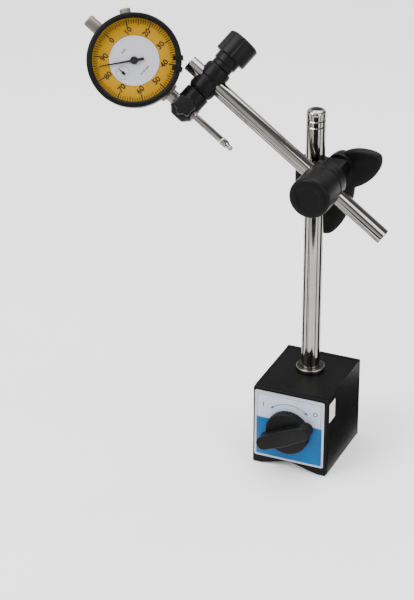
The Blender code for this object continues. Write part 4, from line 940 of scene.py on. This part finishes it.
def make_dial_marks():
    layer = dial_layer(DIAL_FACE)
    ticks = []
    for number in range(TICK_COUNT):
        length = TICK_LENGTHS[0 if number % 10 == 0 else (1 if number % 5 == 0 else 2)]
        width = TEN_WIDTH if number % 10 == 0 else TICK_WIDTH
        ticks.append(tick(math.tau * number / TICK_COUNT, (TICK_OUTER - length) * MM, TICK_OUTER * MM,
                          width * MM))
    finish_piece("dial_graduations", combine_shapes(ticks), layer, "hand_black", "bezel")
    for number in range(0, TICK_COUNT, 10):
        write("dial_number_%02d" % number, str(number), math.tau * number / TICK_COUNT, NUMBER_REACH,
              NUMBER_SIZE, layer, "bezel")
    finish_piece("dial_ring_line", flat_ring(*RING_LINE, INK, 128), layer, "hand_black", "bezel")


def write(name, words, angle, reach, size, layer, body):
    """Words on the dial, upright, at a clock angle."""
    curve = bpy.data.curves.new(name, "FONT")
    curve.body = words
    curve.size = size
    curve.align_x = "CENTER"
    curve.align_y = "CENTER"
    curve.extrude = INK / 2
    curve.offset = NUMBER_WEIGHT * size
    curve.resolution_u = 3
    curve.materials.append(MATERIALS["hand_black"])
    piece = bpy.data.objects.new(name, curve)
    bpy.context.scene.collection.objects.link(piece)
    place = (reach * math.sin(angle), reach * math.cos(angle), INK / 2)
    piece.matrix_world = layer @ Matrix.Translation(place)
    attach(piece, body)


def make_small_dial():
    """The counter's small dial, and a note of the range and one of the travel."""
    layer = dial_layer(DIAL_FACE)
    centre = Vector(SMALL_DIAL)
    marks = []
    for number in range(10):
        points = tick(-math.tau * number / 10, SMALL_TICK_INNER, SMALL_RADIUS, SMALL_TICK_WIDTH)
        marks.append([tuple(Vector(point) + centre) for point in points])
    finish_piece("small_dial_marks", combine_shapes(marks), layer, "hand_black", "indicator")
    finish_piece("small_dial_ring", flat_ring(SMALL_RADIUS, SMALL_RADIUS + SMALL_LINE, INK, 64),
                 layer @ Matrix.Translation((centre.x, centre.y, 0)), "hand_black", "indicator")
    write("range_note", "0.01", 0, NOTE_REACH, 2.0 * MM, layer, "indicator")
    write("travel_note", "0-10 mm", 0, -NOTE_REACH, 1.9 * MM, layer, "indicator")


# ---- fasteners ----
PLATE_HEAD = 1.6 * MM
BACK_HEAD = 0.8 * MM
BACK_HEAD_RADIUS = 1.6 * MM
BACK_COVER = 1.8 * MM        # how far the back cover stands behind the case


def make_screw_heads():
    """Slotted heads for the rear plate's and the back cover's screws, each slot at its own angle."""
    for number in range(1, 5):
        node = "plate_screw_%d" % number
        low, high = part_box(node)
        centre = (low + high) / 2
        radius = (high.x - low.x) / 2
        profile = rounded([(0, PLATE_HEAD), (radius, PLATE_HEAD), (radius, 0), (1.4 * MM, 0),
                           (1.4 * MM, -4.0 * MM), (0, -4.0 * MM)], [0, 1.1 * MM, 0, 0, 0, 0], 5)
        place = aim(Matrix.Translation((centre.x, high.y - PLATE_HEAD, centre.z)), (0, 0, 0), (0, 1, 0))
        head = finish_piece(node + "_head", lathe(profile, count=48), place, "steel", "base", [node])
        cut_slot(head, place, radius, PLATE_HEAD, 0.4 + number)
    ring = CASE_RADIUS - (CASE_LIP + CASE_WALL) / 2
    for number in range(1, 5):
        angle = math.tau * (number - 0.5) / 4
        start = (ring * math.cos(angle), CASE_DEPTH + BACK_COVER, ring * math.sin(angle))
        profile = rounded([(0, BACK_HEAD), (BACK_HEAD_RADIUS, BACK_HEAD), (BACK_HEAD_RADIUS, 0),
                           (0.7 * MM, 0), (0.7 * MM, -3.0 * MM), (0, -3.0 * MM)], [0, 0.5 * MM, 0, 0, 0, 0])
        place = aim(DIAL, start, (0, 1, 0))
        head = finish_piece("back_screw_%d_head" % number, lathe(profile, count=40), place, "steel",
                            "indicator", ["back_screw_%d" % number])
        cut_slot(head, place, BACK_HEAD_RADIUS, BACK_HEAD, number * 0.9)


def cut_slot(piece, place, radius, height, angle):
    """Cuts a screwdriver slot half a head deep."""
    shape = bmesh.new()
    bmesh.ops.create_cube(shape, size=1.0)
    bmesh.ops.scale(shape, vec=(radius * 3, radius * 0.3, height), verts=shape.verts)
    cut_shape(piece, shape, place @ Matrix.Translation((0, 0, height)) @ Matrix.Rotation(angle, 4, "Z"))


# ---- the stage ----
CAMERA_AZIMUTH = math.radians(23.6)
CAMERA_ELEVATION = math.radians(27.3)
CAMERA_DISTANCE = 1.45
CAMERA_LENS = 134.0
SENSOR_WIDTH = 36.0
CAMERA_TARGET = (-0.0752, 0.0118, 0.0860)


def make_camera():
    level = math.cos(CAMERA_ELEVATION)
    back = Vector((math.sin(CAMERA_AZIMUTH) * level, -math.cos(CAMERA_AZIMUTH) * level,
                   math.sin(CAMERA_ELEVATION)))
    data = bpy.data.cameras.new("camera")
    data.lens = CAMERA_LENS
    data.sensor_width = SENSOR_WIDTH
    camera = bpy.data.objects.new("camera", data)
    bpy.context.scene.collection.objects.link(camera)
    camera.location = Vector(CAMERA_TARGET) + back * CAMERA_DISTANCE
    camera.rotation_euler = (-back).to_track_quat("-Z", "Y").to_euler()
    bpy.context.scene.camera = camera


LIGHT_TARGET = (-0.03, 0.0, 0.12)
LIGHTS = (("key", (-0.9, -1.0, 1.5), (1.2, 1.2), 52), ("fill", (1.3, -0.7, 0.9), (0.9, 1.4), 18),
          ("top", (0.0, 0.4, 1.6), (1.4, 1.4), 34))    # name, place, size in metres, watts


def make_light(name, place, size, power):
    data = bpy.data.lights.new(name, "AREA")
    data.shape = "RECTANGLE"
    data.size, data.size_y = size
    data.energy = power
    light = bpy.data.objects.new(name, data)
    bpy.context.scene.collection.objects.link(light)
    light.location = place
    light.rotation_euler = (Vector(LIGHT_TARGET) - Vector(place)).to_track_quat("-Z", "Y").to_euler()


ROOM_BANDS = ((0.0, 0.85), (0.22, 0.95), (0.30, 0.16), (0.42, 0.14), (0.50, 0.90), (0.62, 0.98),
              (0.70, 0.20), (0.84, 0.16), (0.93, 0.80))
ROOM_STRENGTH = 1.25


def make_world():
    """A pale room with darker stretches, which give bright metal something to reflect."""
    world = bpy.data.worlds.new("studio")
    bpy.context.scene.world = world
    world.use_nodes = True
    tree = world.node_tree
    coordinates = tree.nodes.new("ShaderNodeTexCoord")
    split = tree.nodes.new("ShaderNodeSeparateXYZ")
    shift = tree.nodes.new("ShaderNodeMapRange")
    shift.inputs["From Min"].default_value = -1.0
    tree.links.new(coordinates.outputs["Generated"], split.inputs["Vector"])
    tree.links.new(split.outputs["X"], shift.inputs["Value"])
    bands = ramp(tree, shift.outputs["Result"], [(place, (value,) * 3) for place, value in ROOM_BANDS])
    background = tree.nodes["Background"]
    tree.links.new(bands, background.inputs["Color"])
    background.inputs["Strength"].default_value = ROOM_STRENGTH


FLOOR_HALF = 6.0
FLOOR_DROP = 0.2 * MM
FLOOR_GLOW = 0.14
FLOOR_GRAIN = 40.0


def make_floor():
    shape = bmesh.new()
    bmesh.ops.create_grid(shape, x_segments=2, y_segments=2, size=FLOOR_HALF)
    mesh = bpy.data.meshes.new("floor")
    shape.to_mesh(mesh)
    shape.free()
    material = grained("floor_pale", (0.90, 0.90, 0.90), (0.92, 0.92, 0.92), (0.70, 0.80), grain=FLOOR_GRAIN)
    shader = material.node_tree.nodes["Principled BSDF"]
    shader.inputs["Emission Color"].default_value = (1, 1, 1, 1)
    shader.inputs["Emission Strength"].default_value = FLOOR_GLOW
    mesh.materials.append(material)
    floor = bpy.data.objects.new("floor", mesh)
    floor.location = (0, 0, -FLOOR_DROP)
    bpy.context.scene.collection.objects.link(floor)


# Dark wedges round the post, in degrees from +X, and a dark patch at the block's right side.
DARK_WEDGES = ((-134, -121), (-113, -106), (-24, -12), (18, 50), (166, 196))
WEDGE_START = 0.075
FRONT_WEDGE = (-98, -42)
FRONT_WEDGE_START = 0.34
WEDGE_END = 1.2
CARD_THICKNESS = 0.1 * MM
DARK_PATCH = ((0.028, -0.035), (0.100, -0.035), (0.140, 0.110), (0.028, 0.110))


def make_dark_card(name, points):
    """A dark card on the floor, which only reflections see."""
    mesh = bpy.data.meshes.new(name)
    shape = sheet_shape(points, CARD_THICKNESS)
    shape.to_mesh(mesh)
    shape.free()
    mesh.materials.append(MATERIALS["black_plastic"])
    card = bpy.data.objects.new(name, mesh)
    bpy.context.scene.collection.objects.link(card)
    card.visible_camera = False
    card.visible_diffuse = False
    card.visible_shadow = False
    card.visible_transmission = False


def wedge_points(start, end, near):
    """The corners of a wedge round the post, between two angles in degrees."""
    points = []
    for reach, angle in ((near, start), (WEDGE_END, start), (WEDGE_END, end), (near, end)):
        points.append((POST_PLACE.x + reach * math.cos(math.radians(angle)),
                       POST_PLACE.y + reach * math.sin(math.radians(angle))))
    return points


def make_dark_cards():
    """The stripes in the chrome come from these."""
    for number, (start, end) in enumerate(DARK_WEDGES, start=1):
        make_dark_card("dark_wedge_%d" % number, wedge_points(start, end, WEDGE_START))
    make_dark_card("front_wedge", wedge_points(*FRONT_WEDGE, FRONT_WEDGE_START))
    make_dark_card("dark_patch", DARK_PATCH)


def make_studio():
    make_camera()
    make_world()
    make_floor()
    make_dark_cards()
    for name, place, size, power in LIGHTS:
        make_light(name, place, size, power)


def make_pieces():
    dress_cad_nodes()
    make_post()
    make_arm_rod()
    make_block()
    make_label()
    make_sticker()
    make_rotary_knob()
    make_drum()
    make_wing_knob()
    make_end_clamp()
    make_end_knob()
    make_carrier()
    make_thumb_screw()
    make_case()
    make_stem_and_contact()
    make_spindle_cap()
    make_bezel()
    make_bezel_screw()
    make_dial_marks()
    make_small_dial()
    make_screw_heads()


make_studio()
make_pieces()
